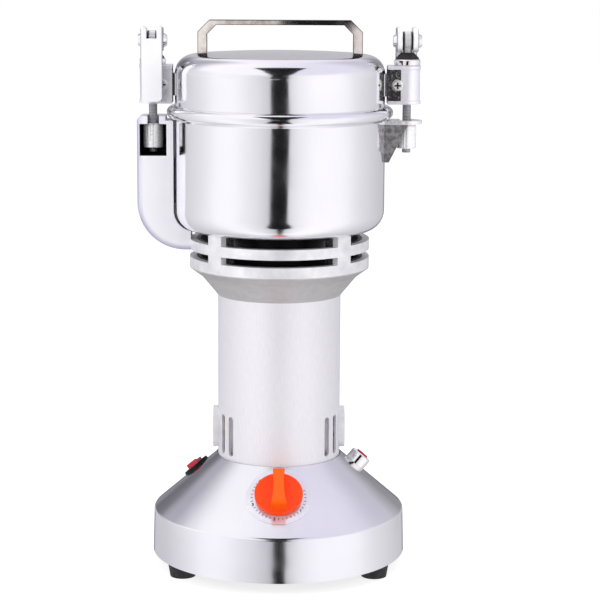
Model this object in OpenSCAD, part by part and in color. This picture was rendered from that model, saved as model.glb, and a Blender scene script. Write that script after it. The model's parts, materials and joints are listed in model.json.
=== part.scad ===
// Electric powder grinder: a motor in an upright tube on a round base, with a
// stainless grinding bowl on top and a lid held down by two swing clamps.
// Origin on the floor under the middle of the machine. Front is -Y, +Z is up.

/* [Base] */
// Diameter of the base at its bottom edge
base_d = 178; // [168:0.5:190]
// Height of the upright wall of the base
base_wall_h = 30.4; // [24:0.2:40]
// How far the wall leans in over its height
base_draft = 0.8; // [0:0.1:2]
// Radius between the wall and the cone
base_rim_r = 3; // [2.2:0.1:4]
// Slope of the cone above level, in degrees
cone_slope = 41; // [36:0.5:44]
// Sheet thickness of the base
sheet = 1.6; // [1.2:0.1:2]
// Width of the lip turned in at the bottom
bottom_lip_w = 16; // [15.5:0.1:18]
// Thickness of the plate that closes the base
base_plate_t = 2.5; // [2:0.1:3.5]
// Depth of the collar that the tube stands in
collar_h = 5.5; // [4.5:0.1:6.5]
// Width of the lip that carries the tube
collar_lip_w = 7.2; // [6:0.1:8]

/* [Feet] */
// Number of feet
foot_n = 3; // [3:1:5]
// Height of a foot
foot_h = 10; // [8:0.5:14]
// Diameter of a foot at the base
foot_d = 21; // [18:0.5:23]
// Diameter of a foot at the floor
foot_tip_d = 17.5; // [15:0.5:19]
// Distance from the edge of the base to a foot's centre
foot_inset = 12.2; // [11.5:0.1:13]

/* [Motor tube] */
// Outside diameter of the tube
tube_d = 85.8; // [82:0.2:90]
// Wall of the tube
tube_wall = 1.5; // [1:0.1:2]
// Height of the tube above the cone
tube_h = 113.8; // [105:0.5:125]
// Width of a vent slot
slot_w = 5; // [3:0.5:6]
// Length of a vent slot
slot_h = 28; // [18:1:34]
// Height of the slots above the cone
slot_lift = 2.8; // [2:0.1:6]
// Turn of the first slot from the front or the back
slot_turn = 51; // [48:1:54]
// Turn between two neighbouring slots
slot_pitch = 14; // [10:1:15]
// Diameter of a brush cap
cap_d = 29; // [24:0.5:31]
// How far a brush cap stands out from the tube
cap_proud = 3.4; // [2.5:0.1:5]
// Height of the brushes above the cone
brush_lift = 18.3; // [17:0.1:20]

/* [Vent neck] */
// Outside diameter of the neck's rings
ring_d = 124.6; // [118:0.2:128]
// Radial thickness of the rings
ring_t = 7.5; // [6:0.5:9]
// Height of the lower ring
low_ring_h = 7.1; // [5:0.1:9]
// Height of the gap between the rings
ring_gap = 5.2; // [4:0.1:7]
// Height of the upper ring
up_ring_h = 7; // [5:0.1:9]
// Height of the gap under the bowl
bowl_gap = 5.9; // [4:0.1:8]
// Rise of the neck from the tube to the lower ring
neck_h = 20; // [18:0.5:24]
// Number of posts, each with a bowl screw
post_n = 4; // [3:1:6]
// Width of a post
post_w = 12.5; // [10:0.5:14]

/* [Bowl] */
// Outside diameter of the bowl
bowl_d = 145; // [142:0.5:150]
// Height of the bowl with its rim
bowl_h = 83.3; // [78:0.5:95]
// Wall of the bowl
bowl_wall = 1.5; // [1:0.1:2]
// Radius of the bowl's bottom corner
bowl_corner = 14; // [10:0.5:16]
// How far the rolled rim stands out
bead_w = 5.4; // [4.8:0.1:6.5]
// Height of the rolled rim
bead_h = 8.6; // [7.6:0.1:9.4]
// How far the rolled rim rises round the lid
bead_rise = 2.4; // [1.6:0.1:2.8]

/* [Lid] */
// Height of the lid from its rim to its crown
lid_h = 38.9; // [34:0.5:46]
// Wall of the lid
lid_wall = 1.2; // [0.8:0.1:1.6]
// How much smaller the lid is than the bowl, across
lid_step = 0.6; // [0:0.1:2]
// Radius of the lid's shoulder
lid_corner = 13; // [8:0.5:16]
// Height of the crown
lid_crown = 2; // [0.5:0.1:4]
// Thickness of the silicone seal
seal_t = 3; // [2:0.1:4]
// Turn that frees the lid from its catches
lid_turn = 20; // [20:1:30]

/* [Lid handle] */
// Distance between the middles of the legs
handle_span = 106.4; // [80:0.2:110]
// Width of a leg
handle_w = 6.5; // [6:0.1:9]
// Depth of the handle from front to back
handle_depth = 8; // [7.5:0.5:14]
// Height of the handle over the lid
handle_h = 21.5; // [18:0.5:30]
// Thickness of the bar
handle_bar_t = 3.4; // [3:0.1:6]
// Size of the handle's sloping corners
handle_chamfer = 8; // [4:0.5:10]

/* [Clamps] */
// Distance from the bowl wall to the clamp rod's axis
clamp_reach = 14.8; // [14:0.1:16.5]
// Diameter of the clamp rod
rod_d = 5.8; // [5:0.1:6]
// Depth of a lid bracket, front to back
bracket_w = 19; // [18:0.2:20]
// Gap between the bowl's rim and a lid bracket
bracket_lift = 1.5; // [0.8:0.1:2]
// Height of a lid bracket
bracket_h = 26.1; // [22:0.1:30]
// Thickness of a bracket's top and bottom
bracket_plate_t = 2.4; // [1.6:0.1:3]
// Thickness of a bracket's cheek
bracket_cheek_t = 1.8; // [1.2:0.1:2]
// How far a bracket's top and bottom stand out from its cheeks
bracket_step = 0.5; // [0.2:0.1:1]
// Diameter of the chrome ring under the rubber
washer_d = 17.9; // [15:0.1:18.4]
// Height of the chrome ring
washer_h = 4.4; // [3:0.1:6]
// Height of the rubber dome
dome_h = 4.6; // [3:0.1:6]
// Width of the clamp lever
lever_w = 14.8; // [14:0.1:16]
// Length of the lever below its pin
lever_drop = 41.1; // [30:0.5:48]
// Length of the lever above its pin
lever_top = 9.3; // [8:0.1:11]
// Thickness of the lever's grip
lever_t = 3; // [2:0.1:4]
// Gap between the pin and the rubber when the clamp is shut
cam_lift = 7.7; // [7.4:0.1:9]
// How far the rod drops when the lever is swung up
rod_drop = 1.6; // [1:0.1:1.8]
// Swing of the lever, in degrees
lever_swing = 90; // [80:5:95]
// Diameter of the lever's pin
pin_d = 4; // [3:0.1:5]
// Diameter of a pin head
pin_head_d = 10; // [7:0.5:11]
// Diameter of the clamp nut
nut_d = 13.7; // [12:0.1:14]
// Height of the clamp nut
nut_h = 16.6; // [12:0.2:17]
// Length of rod below the nut
rod_tail = 2.9; // [1:0.1:3]

/* [Latch arm and catch] */
// Width of the latch arm, front to back
arm_w = 24; // [20:0.5:27]
// Distance from the bowl to the arm's outer face
arm_depth = 25.5; // [25:0.1:27]
// Gap between the arm and the bowl
arm_gap = 0.5; // [0.3:0.1:1]
// Radius of the arm's lower bend
arm_bend = 33; // [26:0.5:34]
// Thickness of the arm's roof
roof_t = 5.2; // [4.6:0.1:6]
// How far the arm's roof rises past the bottom of the bowl's rim
roof_rise = 1.6; // [1:0.1:2]
// Gap between the arm and the rim of the bowl
roof_gap = 0.4; // [0.3:0.1:1]
// Height of the window in the arm
window_h = 21.8; // [21.6:0.1:24]
// Width of the window in the arm
window_w = 18.4; // [17.8:0.1:19]
// Width of the slots that the rods pass through
rod_slot_w = 8; // [7.4:0.1:8.6]
// Thickness of the bowl catch's top plate
catch_t = 2.5; // [2:0.1:3.5]
// Height of the catch on the bowl wall
catch_h = 28.5; // [20:0.5:34]
// Depth of the catch, front to back
catch_w = 20; // [19:0.5:22]

/* [Timer] */
// Distance from the tube to the timer's axis
timer_out = 19.1; // [17.6:0.1:21]
// Diameter of the dial
dial_d = 45; // [38:0.5:46]
// Diameter of the knob
knob_d = 33; // [28:0.5:36]
// Thickness of the knob's disc
knob_disc_t = 4; // [3:0.1:6]
// Height of the grip over the disc
knob_grip_h = 9.4; // [6:0.2:14]
// Width of the grip at its upper end
knob_grip_w = 8.2; // [7:0.1:10]
// Width of the grip at its waist
knob_waist_w = 7; // [6.4:0.1:9]
// Width of the grip at its lower end
knob_grip_low_w = 11.4; // [8:0.1:13]
// Diameter of the timer's shaft
timer_shaft_d = 6; // [4:0.1:6.4]

/* [Switch] */
// Distance from the tube to the switch's axis
switch_out = 17; // [13.2:0.1:18]
// Diameter of the switch's bezel
bezel_d = 20.6; // [20:0.1:23]
// Length of the rocker
rocker_l = 13; // [11:0.1:13.4]
// Width of the rocker
rocker_w = 8.4; // [7:0.1:8.8]
// Tilt of the rocker to each side, in degrees
rocker_tilt = 7; // [4:0.5:9]

/* [Side controls] */
// Turn of the switch and the breaker from the front
side_turn = 102; // [90:1:110]

/* [Overload breaker] */
// Distance from the tube to the breaker's axis
breaker_out = 13; // [10.1:0.1:14.5]
// Diameter of the breaker's collar
breaker_d = 15.3; // [14:0.1:18]
// Height of the breaker's collar
breaker_h = 7.5; // [5:0.1:9]
// Diameter of the reset button
button_d = 9; // [7:0.1:9.6]
// Travel of the reset button
button_travel = 1.5; // [1:0.1:1.8]

/* [Blades] */
// Thickness of a blade
blade_t = 2.5; // [2:0.1:3.5]
// Reach of the lower blade from the shaft's axis
low_blade_reach = 62; // [50:0.5:64]
// Turn of the lower blade from the right-hand side, in degrees
low_blade_turn = 20; // [0:5:180]
// Reach of the middle blade
mid_blade_reach = 60; // [45:0.5:64]
// Turn from one blade to the next, in degrees
blade_step_turn = 60; // [30:5:90]
// Reach of the upper blade
up_blade_reach = 50; // [40:0.5:60]
// Upward bend of the lower blade's tips, in degrees
low_blade_bend = 20; // [0:1:25]
// Upward bend of the upper blade's tips, in degrees
up_blade_bend = 28; // [0:1:32]
// Width of a blade at its hub
blade_w = 24; // [20:0.5:28]
// Diameter of the shaft where it carries the blades
blade_shaft_d = 12; // [11:0.1:13]
// Height of the spacer under the lower blade
low_spacer_h = 3.4; // [3:0.1:6]
// Height of the spacer between two blades
blade_pitch = 13; // [10:0.5:15]

/* [Motor] */
// Height of the stator's stack
stack_h = 40; // [30:1:44]
// Gap between the stator and the tube
stator_room = 3.4; // [3:0.1:4]
// Depth of the stator ring, from its bore to its outside
stator_depth = 14.9; // [14:0.1:16]
// Gap between the armature and the stator
air_gap = 0.6; // [0.4:0.1:1]
// Diameter of the motor shaft inside the armature
core_shaft_d = 10; // [9:0.1:11]
// Gap between the fan and the tube
fan_room = 2.9; // [2.4:0.1:6]
// Number of fan blades
fan_n = 12; // [8:1:16]
// Number of commutator bars
bar_n = 24; // [16:2:32]

/* [Fits] */
// Gap between parts that move past each other
move_gap = 0.3; // [0.25:0.01:0.35]
// Gap between parts that are fastened together
fit_gap = 0.2; // [0.1:0.01:0.25]
// Gap round a pin or shaft in its bore
run_gap = 0.05; // [0.02:0.01:0.08]
// Diameter of the screws' threads
screw_d = 4; // [3:0.1:4.2]
// Diameter of the screws' heads
screw_head_d = 7.4; // [6:0.1:8]
// Height of the screws' heads
screw_head_h = 2.6; // [1.6:0.1:3]

/* [Hidden] */
$fn = 96;

// Extra length that carries a cut clear of a face
cut = 1;

// Base
base_r = base_d / 2;
rim_r = base_r - base_draft;
base_z = foot_h;
rim_z = base_z + base_wall_h;
rim_turn = 90 - cone_slope;
rim_centre_z = rim_z - base_rim_r * tan(rim_turn / 2);
tube_r = tube_d / 2;
collar_r = tube_r + move_gap;
groove_w = 0.5;
groove_h = 2.4;
groove_r = collar_r + groove_w;
cone_top_z = cone_z(collar_r);
collar_z = cone_top_z - collar_h;
lip_r = collar_r - collar_lip_w;
plate_z = base_z + base_plate_t;
foot_r = base_r - foot_inset;
foot_turn = 90;

// Feet and their screws
foot_screw_z = 4.5;
foot_recess_d = 9;
foot_screw_end = 16.2;

// Inlet for the cord, in the back of the base
gland_z = base_z + base_wall_h / 2;
gland_wall_r = base_r - base_draft / 2;
gland_hole_d = 14;
gland_flange_d = 18;
gland_bore_d = 8;
gland_depth = 6;
gland_flange_t = 2.6;

// Motor tube and what it holds
tube_top_z = cone_top_z + tube_h;
tube_in_r = tube_r - tube_wall;
stator_r = tube_in_r - stator_room;
slot_z = cone_top_z + slot_lift;
brush_z = cone_top_z + brush_lift;
holder_d = 15.6;
holder_in = 17;
holder_out = sqrt(tube_r * tube_r - holder_d * holder_d / 4) - fit_gap;
brush_w = 6;
brush_h = 9;
brush_l = 16;
commutator_d = 28;
commutator_h = 16;
cap_out = tube_r + cap_proud;
cap_slot_w = 2.4;
cap_slot_depth = 1;

// Lower end bracket and bearing
bracket_base_t = 4;
cup_shoulder = 0.5;
cup_out_r = stator_r - cup_shoulder;
cup_wall = 3;
cup_h = 44;
cup_top_z = collar_z + cup_h;
cup_window_w = 30;
cup_window_h = 30;
small_bearing_d = 22;
small_bearing_bore = 8;
small_bearing_h = 7;
bearing_floor = 5;
boss_wall = 4;
race_share = 0.3;
bolt_inset = 3;
bracket_bolt_r = lip_r + bolt_inset;
bracket_bolt_turn = 30;
bracket_bolt_n = 3;

// Stator and armature
stack_z = cup_top_z;
stack_top_z = stack_z + stack_h;
stator_bore_r = stator_r - stator_depth;
armature_r = stator_bore_r - air_gap;
pole_t = 3;
yoke_t = 4;
slot_in_r = stator_bore_r + pole_t;
slot_out_r = stator_r - yoke_t;
pole_turn = 38;
slot_span = 28;
coil_end = 6;
end_turn_h = 10;
end_turn_step = 2.5;
end_turn_r = armature_r - end_turn_step;
tooth_gap = 2;
tooth_depth = 3;
fan_lift = 13;
fan_z = stack_top_z + fan_lift;
fan_r = tube_in_r - fan_room;
fan_h = 11;
fan_disc_t = 2;
fan_hub_d = 22;
fan_blade_t = 1.6;

// Vent neck and upper bearing
ring_r = ring_d / 2;
ring_in_r = ring_r - ring_t;
low_ring_z = tube_top_z + neck_h;
low_ring_top = low_ring_z + low_ring_h;
up_ring_z = low_ring_top + ring_gap;
up_ring_top = up_ring_z + up_ring_h;
bowl_z = up_ring_top + bowl_gap;
neck_bend_w = 8;
neck_bend_h = 6.6;
neck_mid_r = ring_r - neck_bend_w;
neck_mid_z = low_ring_z - neck_bend_h;
ring_edge = 0.8;
ring_step = 2;
spigot_h = 8;
spigot_t = 2;
ledge_drop = 6.3;
ledge_z = low_ring_z - ledge_drop;
ledge_in_r = tube_r + 1;
ledge_t = 4;
neck_wall = 3.2;
mount_r = neck_mid_r - neck_wall;
mount_t = 5;
post_foot = 0.7;
post_in_r = mount_r - post_foot;
post_turn = 45;
bowl_screw_inset = 4;
bowl_screw_r = bowl_d / 2 - bowl_corner - bowl_screw_inset;
bowl_screw_depth = 12;
big_bearing_d = 32;
big_bearing_h = 10;
bearing_step = 2;
big_bearing_z = ledge_z + bearing_step;
mount_boss_wall = 6;
mount_boss_drop = 2;
mount_lip_t = 2;
mount_lip_w = 3;
mount_window_in = 34;
mount_window_out = 46;
mount_window_n = 6;
mount_window_span = 44;
housing_out_r = 32.5;
housing_wall = 5;
housing_top_t = 4;
seal_body_r = 10;
seal_flange_r = 15;
seal_flange_t = 3;

// Bowl
bowl_r = bowl_d / 2;
bowl_in_r = bowl_r - bowl_wall;
bowl_floor_z = bowl_z + bowl_wall;
bowl_top_z = bowl_z + bowl_h;
bead_r = bowl_r + bead_w;
bead_top_z = bowl_top_z + bead_rise;
bead_z = bead_top_z - bead_h;
bead_wall = 1.3;
bead_mouth = 1.2;
bead_fillet = 1;
bead_edge = 0.6;

// Blades
low_blade_z = bowl_floor_z + seal_flange_t + move_gap + low_spacer_h;
mid_blade_z = low_blade_z + blade_t + blade_pitch;
up_blade_z = mid_blade_z + blade_t + blade_pitch;
blade_stack_z = up_blade_z + blade_t;
blade_bend_share = 0.62;
blade_tip_share = 0.7;
spacer_d = 22;
blade_nut_af = 19;
blade_nut_h = 7;
blade_nut_cap = 3;
stud_d = 10;
stud_h = 6;
shaft_end_z = collar_z + bearing_floor + move_gap;
blade_shaft_r = blade_shaft_d / 2;

// Lid
lid_z = bowl_top_z + move_gap;
lid_r = bowl_r - lid_step / 2;
lid_top_z = lid_z + lid_h;
crown_reach = lid_r - lid_corner;
crown_r = (crown_reach * crown_reach + lid_crown * lid_crown) / (2 * lid_crown);
seal_skirt = 5;
seal_body_h = 8;
seal_clear = 0.4;

// Handle
handle_top_z = lid_top_z + handle_h;
leg_x = handle_span / 2;
handle_x = leg_x + handle_w / 2;
handle_screw_in = 10;

// Clamps, laid out for the right-hand side
clamp_r = bowl_r + clamp_reach;
rod_r = rod_d / 2;
bracket_z = bead_top_z + bracket_lift;
bracket_top_z = bracket_z + bracket_h;
bracket_stand = 1.5;
bracket_in_x = lid_r + bracket_stand;
bracket_r = bracket_w / 2;
cheek_out = bracket_r - bracket_step;
lug_gap = 3;
lug_room = 0.8;
lug_end_x = clamp_r - rod_r - lug_room;
cheek_screw_in = 7.1;
cheek_screw_x = clamp_r - cheek_screw_in;
cheek_screw_z = bracket_z + bracket_h / 2;
cheek_head_d = 8;
cheek_head_h = 2.6;
cheek_screw_l = 6.4;
washer_z = bracket_top_z;
dome_z = washer_z + washer_h;
dome_top_z = dome_z + dome_h;
dome_step = 0.8;
dome_lean = 3.5;
pin_z = dome_top_z + cam_lift;
tongue_w = 6.6;
tongue_r = 6.5;
tongue_depth = 8;
tongue_z = dome_top_z + rod_drop + move_gap;
cheek_gap = 0.4;
cheek_in = tongue_w / 2 + cheek_gap;
lever_room = 0.5;
lever_in_y = cheek_out + cheek_head_h + lever_room;
lever_corner = 4;
lever_slot_w = 7.2;
lever_slot_z = 1.5;
cam_before = 25;
cam_after = 110;
cam_steps = 27;
cam_radius = cam_lift - move_gap;
cam_rate = rod_drop / (lever_swing * PI / 180);
cheek_low = 7;
cheek_back = 3.5;
cheek_edge = 2;
pin_half = 9.85;
roof_top_z = bead_z + roof_rise;
roof_z = roof_top_z - roof_t;
nut_top_z = roof_z - move_gap;
nut_z = nut_top_z - nut_h;
rod_end_z = nut_z - rod_tail;
nut_chamfer = 1.2;
rod_hole_r = rod_r + move_gap;

// Latch arm and catch
arm_x = bowl_r + arm_depth;
arm_in_x = bowl_r + arm_gap;
arm_drop = 0.2;
arm_z = up_ring_z - arm_drop;
arm_foot_step = 2.3;
arm_foot_x = ring_r - arm_foot_step;
arm_tuck_z = bead_z - bead_fillet - move_gap;
arm_tuck_x = bead_r + roof_gap;
arm_top_corner = 4;
arm_edge_r = 3;
window_z = roof_z - window_h;
window_in = 9.7;
window_x = clamp_r - window_in;
window_back = 9.5;
channel_t = 2.6;
channel_wall = 3.5;
channel_half_w = arm_w / 2 - arm_edge_r;
channel_x = arm_x - channel_wall;
channel_low = 4;
channel_low_z = bowl_z + bowl_corner + channel_low;
sensor_l = 12;
sensor_w = 12;
sensor_h = 11;
arm_screw_y = 6.5;
arm_screw_z = (up_ring_z + up_ring_top) / 2;
arm_screw_out = 8;
arm_screw_head_x = ring_r + arm_screw_out;
arm_screw_l = 13;
catch_r = arm_x - clamp_r;
catch_top_z = roof_z + catch_t;
catch_wall = 2.4;
gusset_t = 2.4;
gusset_end = 0.7;
gusset_x = clamp_r + gusset_end;
free_room = 6;
free_turn = lid_turn + free_room;

// Timer
timer_r = tube_r + timer_out;
timer_neck_d = 8;
dial_t = 0.4;
knob_lift = 0.5;
knob_z = dial_t + knob_lift;
knob_r = knob_d / 2;
knob_edge = 0.8;
grip_half_l = 15.8;
grip_top_half_l = 14.4;
grip_round = 2;
grip_corner = 1.4;
grip_lean = 15;
waist_y = 1;
shaft_grip = 5;
shaft_top = knob_z + knob_disc_t + shaft_grip;
shaft_low = -6;
timer_w = 34;
timer_up = 13;
timer_down = 20;
timer_depth = 20;
timer_top = -(sheet + sag(timer_w / 2, timer_r - timer_up) + fit_gap);

// Switch
switch_r = tube_r + switch_out;
switch_body_d = 17.8;
switch_flange = 1.8;
switch_depth = 20;
switch_cavity = 9;
rocker_pivot = -3;
rocker_round = 5.6;
rocker_face = 6.6;
rocker_dip = 0.5;
rocker_rise = 0.9;
rocker_edge = 0.3;
rocker_gap = 0.25;
rocker_pin_d = 2.4;
rocker_pin_l = 1.6;
rocker_half = rocker_w / 2 + rocker_pin_l;

// Overload breaker
breaker_r = tube_r + breaker_out;
breaker_neck_d = 11.6;
breaker_body_d = 14;
breaker_depth = 20;
breaker_top = -(sheet + sag(breaker_body_d / 2, breaker_r - breaker_body_d / 2) + fit_gap);
breaker_bore = button_d + 2 * run_gap + move_gap;
button_proud = 1.3;
button_low = -7;
button_clear = 0.9;
button_room = button_low - button_travel - button_clear;
collar_edge = 0.8;

// Height of the cone's surface at a radius
function cone_z(r) = rim_z + (rim_r - r) * tan(cone_slope);

// How far the cone curves away from a flat face of a given half width
function sag(half, r) = half * half * sin(cone_slope) / (2 * r);

// Points along an arc in a flat outline
function arc(x, y, r, a0, a1, n = 10) =
  [for (i = [0:n]) let (a = a0 + (a1 - a0) * i / n) [x + r * cos(a), y + r * sin(a)]];

// Outline of part of a ring
function sector(r0, r1, a0, a1) = concat(arc(0, 0, r0, a0, a1, 16), arc(0, 0, r1, a1, a0, 16));

// Lower face of the lever's cam, which gives an even lift as the lever turns
function cam_point(turn) =
  let (h = cam_radius - cam_rate * turn * PI / 180)
  [-h * sin(turn) + cam_rate * cos(turn), -h * cos(turn) - cam_rate * sin(turn)];

// Outline of the lid from its axis to its rim, moved in by a wall
function lid_points(inset) =
  let (c = crown_r - inset, k = lid_corner - inset, low = lid_top_z - crown_r,
     corner_z = low + sqrt(pow(crown_r - lid_corner, 2) - crown_reach * crown_reach),
     lean = asin(crown_reach / (crown_r - lid_corner)))
  concat(arc(0, low, c, 90, 90 - lean, 8), arc(crown_reach, corner_z, k, 90 - lean, 0, 12));

// Places children on the cone, turned from the front, with +Z square to the cone
module on_cone(turn, r) {
  rotate([0, 0, turn])
    translate([0, -r, cone_z(r)])
      rotate([cone_slope, 0, 0])
        children();
}

// Places children at even turns round the axis, at a radius
module around(n, r, start = 0) {
  for (i = [0:n - 1])
    rotate([0, 0, start + 360 * i / n])
      translate([r, 0, 0])
        children();
}

// Lays a part out on both sides, the second turned half round
module both_sides() {
  for (turn = [0, 180])
    rotate([0, 0, turn])
      children();
}

module ring(r_out, r_in, z, h) {
  translate([0, 0, z])
    difference() {
      cylinder(r = r_out, h = h);
      translate([0, 0, -cut])
        cylinder(r = r_in, h = h + 2 * cut);
    }
}

// Cylinder along X from one place to another
module bar_x(d, x0, x1) {
  translate([x0, 0, 0])
    rotate([0, 90, 0])
      cylinder(d = d, h = x1 - x0);
}

// Cylinder along Y from one place to another
module bar_y(d, y0, y1) {
  translate([0, y1, 0])
    rotate([90, 0, 0])
      cylinder(d = d, h = y1 - y0);
}

// Pan-head screw with its seat at z = 0, its thread going down and a cross recess
module screw(length, head_d = screw_head_d, head_h = screw_head_h) {
  recess_l = head_d * 0.55;
  recess_w = head_d * 0.14;
  recess_depth = head_h * 0.55;
  difference() {
    union() {
      translate([0, 0, -length])
        cylinder(d = screw_d, h = length + cut / 2);
      cylinder(d1 = head_d, d2 = head_d * 0.72, h = head_h);
    }
    for (turn = [0, 90])
      rotate([0, 0, turn])
        translate([-recess_l / 2, -recess_w / 2, head_h - recess_depth])
          cube([recess_l, recess_w, recess_depth + cut]);
  }
}

module screw_hole(length) {
  translate([0, 0, -length])
    cylinder(d = screw_d + fit_gap, h = length + cut);
}

// Base

module base_solid(inset = 0) {
  rotate_extrude()
    polygon(concat(
      [[0, base_z], [base_r - inset, base_z]],
      arc(rim_r - base_rim_r, rim_centre_z, base_rim_r - inset, 0, rim_turn),
      [[0, cone_z(0) - inset / cos(cone_slope)]]
    ));
}

module base_shell() {
  under = sheet / cos(cone_slope);
  collar_out = collar_r + sheet;
  wall = concat(
    [[base_r, base_z]],
    arc(rim_r - base_rim_r, rim_centre_z, base_rim_r, 0, rim_turn),
    [[groove_r, cone_z(groove_r)], [groove_r, cone_z(groove_r) - groove_h],
     [collar_r, cone_z(groove_r) - groove_h - groove_w], [collar_r, collar_z], [lip_r, collar_z],
     [lip_r, collar_z - sheet], [collar_out, collar_z - sheet],
     [collar_out, cone_z(collar_out) - under]],
    arc(rim_r - base_rim_r, rim_centre_z, base_rim_r - sheet, rim_turn, 0),
    [[base_r - sheet, plate_z + sheet], [base_r - bottom_lip_w, plate_z + sheet],
     [base_r - bottom_lip_w, plate_z], [base_r - sheet, plate_z], [base_r - sheet, base_z]]
  );
  color("gainsboro")
    difference() {
      rotate_extrude()
        polygon(wall);
      on_cone(0, timer_r)
        translate([0, 0, -timer_depth])
          cylinder(d = timer_neck_d + fit_gap, h = 2 * timer_depth);
      on_cone(-side_turn, switch_r)
        translate([0, 0, -switch_cavity])
          cylinder(d = switch_body_d + 2 * fit_gap, h = 2 * switch_cavity);
      on_cone(side_turn, breaker_r)
        translate([0, 0, -switch_cavity])
          cylinder(d = breaker_neck_d + fit_gap, h = 2 * switch_cavity);
      translate([0, 0, gland_z])
        bar_y(gland_hole_d, rim_r - 2 * gland_depth, base_r + cut);
      around(foot_n, foot_r, foot_turn)
        translate([0, 0, foot_screw_end])
          screw_hole(foot_screw_end - base_z);
      around(bracket_bolt_n, bracket_bolt_r, bracket_bolt_turn)
        translate([0, 0, collar_z])
          screw_hole(sheet + cut);
    }
}

module base_plate() {
  vent_n = 12;
  vent_r = 46;
  vent_l = 22;
  vent_w = 4;
  color("dimgray")
    difference() {
      translate([0, 0, base_z])
        cylinder(r = base_r - sheet - fit_gap, h = base_plate_t);
      around(foot_n, foot_r, foot_turn)
        translate([0, 0, plate_z])
          screw_hole(base_plate_t + cut);
      around(vent_n, vent_r, foot_turn / 2)
        translate([-vent_l / 2, -vent_w / 2, base_z - cut])
          cube([vent_l, vent_w, base_plate_t + 2 * cut]);
    }
}

module rubber_feet() {
  color("black")
    around(foot_n, foot_r, foot_turn)
      difference() {
        cylinder(d1 = foot_tip_d, d2 = foot_d, h = foot_h);
        translate([0, 0, -cut])
          cylinder(d = foot_recess_d, h = foot_screw_z + screw_head_h + cut);
        cylinder(d = screw_d + fit_gap, h = foot_h + cut);
      }
}

module foot_screws() {
  color("silver")
    around(foot_n, foot_r, foot_turn)
      translate([0, 0, foot_screw_z + screw_head_h])
        mirror([0, 0, 1])
          screw(foot_screw_end - foot_screw_z - screw_head_h);
}

module cord_gland() {
  inner_y = sqrt(pow(gland_wall_r - sheet, 2) - pow(gland_flange_d / 2, 2)) - fit_gap;
  color("black")
    difference() {
      translate([0, 0, gland_z])
        union() {
          bar_y(gland_hole_d - fit_gap, inner_y - gland_flange_t, base_r);
          bar_y(gland_flange_d, inner_y - gland_flange_t, inner_y);
          difference() {
            bar_y(gland_flange_d, gland_wall_r - cut, base_r);
            translate([0, 0, -gland_z])
              base_solid();
          }
        }
      translate([0, 0, gland_z])
        bar_y(gland_bore_d, inner_y - gland_flange_t - cut, base_r + cut);
    }
}

// Timer

module timer_dial() {
  lift = dial_t / cos(cone_slope);
  low_r = timer_r + dial_d / 2;
  high_r = timer_r - dial_d / 2;
  color("whitesmoke")
    difference() {
      intersection() {
        on_cone(0, timer_r)
          translate([0, 0, -timer_depth])
            cylinder(d = dial_d, h = 2 * timer_depth);
        rotate_extrude()
          polygon([[low_r, cone_z(low_r)], [high_r, cone_z(high_r)],
               [high_r, cone_z(high_r) + lift], [low_r, cone_z(low_r) + lift]]);
      }
      on_cone(0, timer_r)
        translate([0, 0, -timer_depth])
          cylinder(d = timer_neck_d + fit_gap, h = 2 * timer_depth);
    }
}

module timer_body() {
  color("ivory")
    on_cone(0, timer_r)
      difference() {
        union() {
          translate([-timer_w / 2, -timer_down, timer_top - timer_depth])
            cube([timer_w, timer_down + timer_up, timer_depth]);
          translate([0, 0, timer_top - cut])
            cylinder(d = timer_neck_d, h = dial_t - timer_top + cut);
        }
        translate([0, 0, shaft_low - move_gap])
          cylinder(d = timer_shaft_d + 2 * run_gap, h = 2 * timer_depth);
      }
}

module timer_shaft() {
  color("silver")
    on_cone(0, timer_r)
      translate([0, 0, shaft_low])
        cylinder(d = timer_shaft_d, h = shaft_top - shaft_low);
}

module knob_grip_outline() {
  low = knob_grip_low_w / 2;
  waist = knob_waist_w / 2;
  high = knob_grip_w / 2;
  side = concat(
    [for (i = [0:8]) let (t = i / 8, y = -grip_half_l + (waist_y + grip_half_l) * t)
      [waist + (low - waist) * pow(1 - t, 2), y]],
    [for (i = [1:4]) let (t = i / 5, y = waist_y + (grip_half_l - grip_corner - waist_y) * t)
      [waist + (high - waist) * t * t, y]],
    arc(high - grip_corner, grip_half_l - grip_corner, grip_corner, 0, 90, 5)
  );
  polygon(concat(side, [for (i = [len(side) - 1:-1:0]) [-side[i][0], side[i][1]]]));
}

module timer_knob() {
  grip_top = knob_z + knob_disc_t + knob_grip_h;
  lean = 180 - grip_lean;
  color("orangered")
    on_cone(0, timer_r)
      difference() {
        union() {
          rotate_extrude()
            polygon([[0, knob_z], [knob_r - knob_edge, knob_z], [knob_r, knob_z + knob_edge],
                 [knob_r, knob_z + knob_disc_t - knob_edge],
                 [knob_r - knob_edge, knob_z + knob_disc_t], [0, knob_z + knob_disc_t]]);
          intersection() {
            translate([0, 0, knob_z + knob_edge])
              linear_extrude(grip_top - knob_z)
                knob_grip_outline();
            rotate([90, 0, 90])
              translate([0, 0, -knob_r])
                linear_extrude(knob_d)
                  polygon(concat(
                    [[-grip_half_l, knob_z + knob_edge], [grip_half_l, knob_z + knob_edge]],
                    arc(grip_top_half_l - grip_round, grip_top - grip_round, grip_round, grip_lean, 90, 6),
                    arc(grip_round - grip_top_half_l, grip_top - grip_round, grip_round, 90, lean, 6)
                  ));
          }
        }
        translate([0, 0, -cut])
          cylinder(d = timer_shaft_d, h = shaft_top + cut + fit_gap);
      }
}

// Switch

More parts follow.
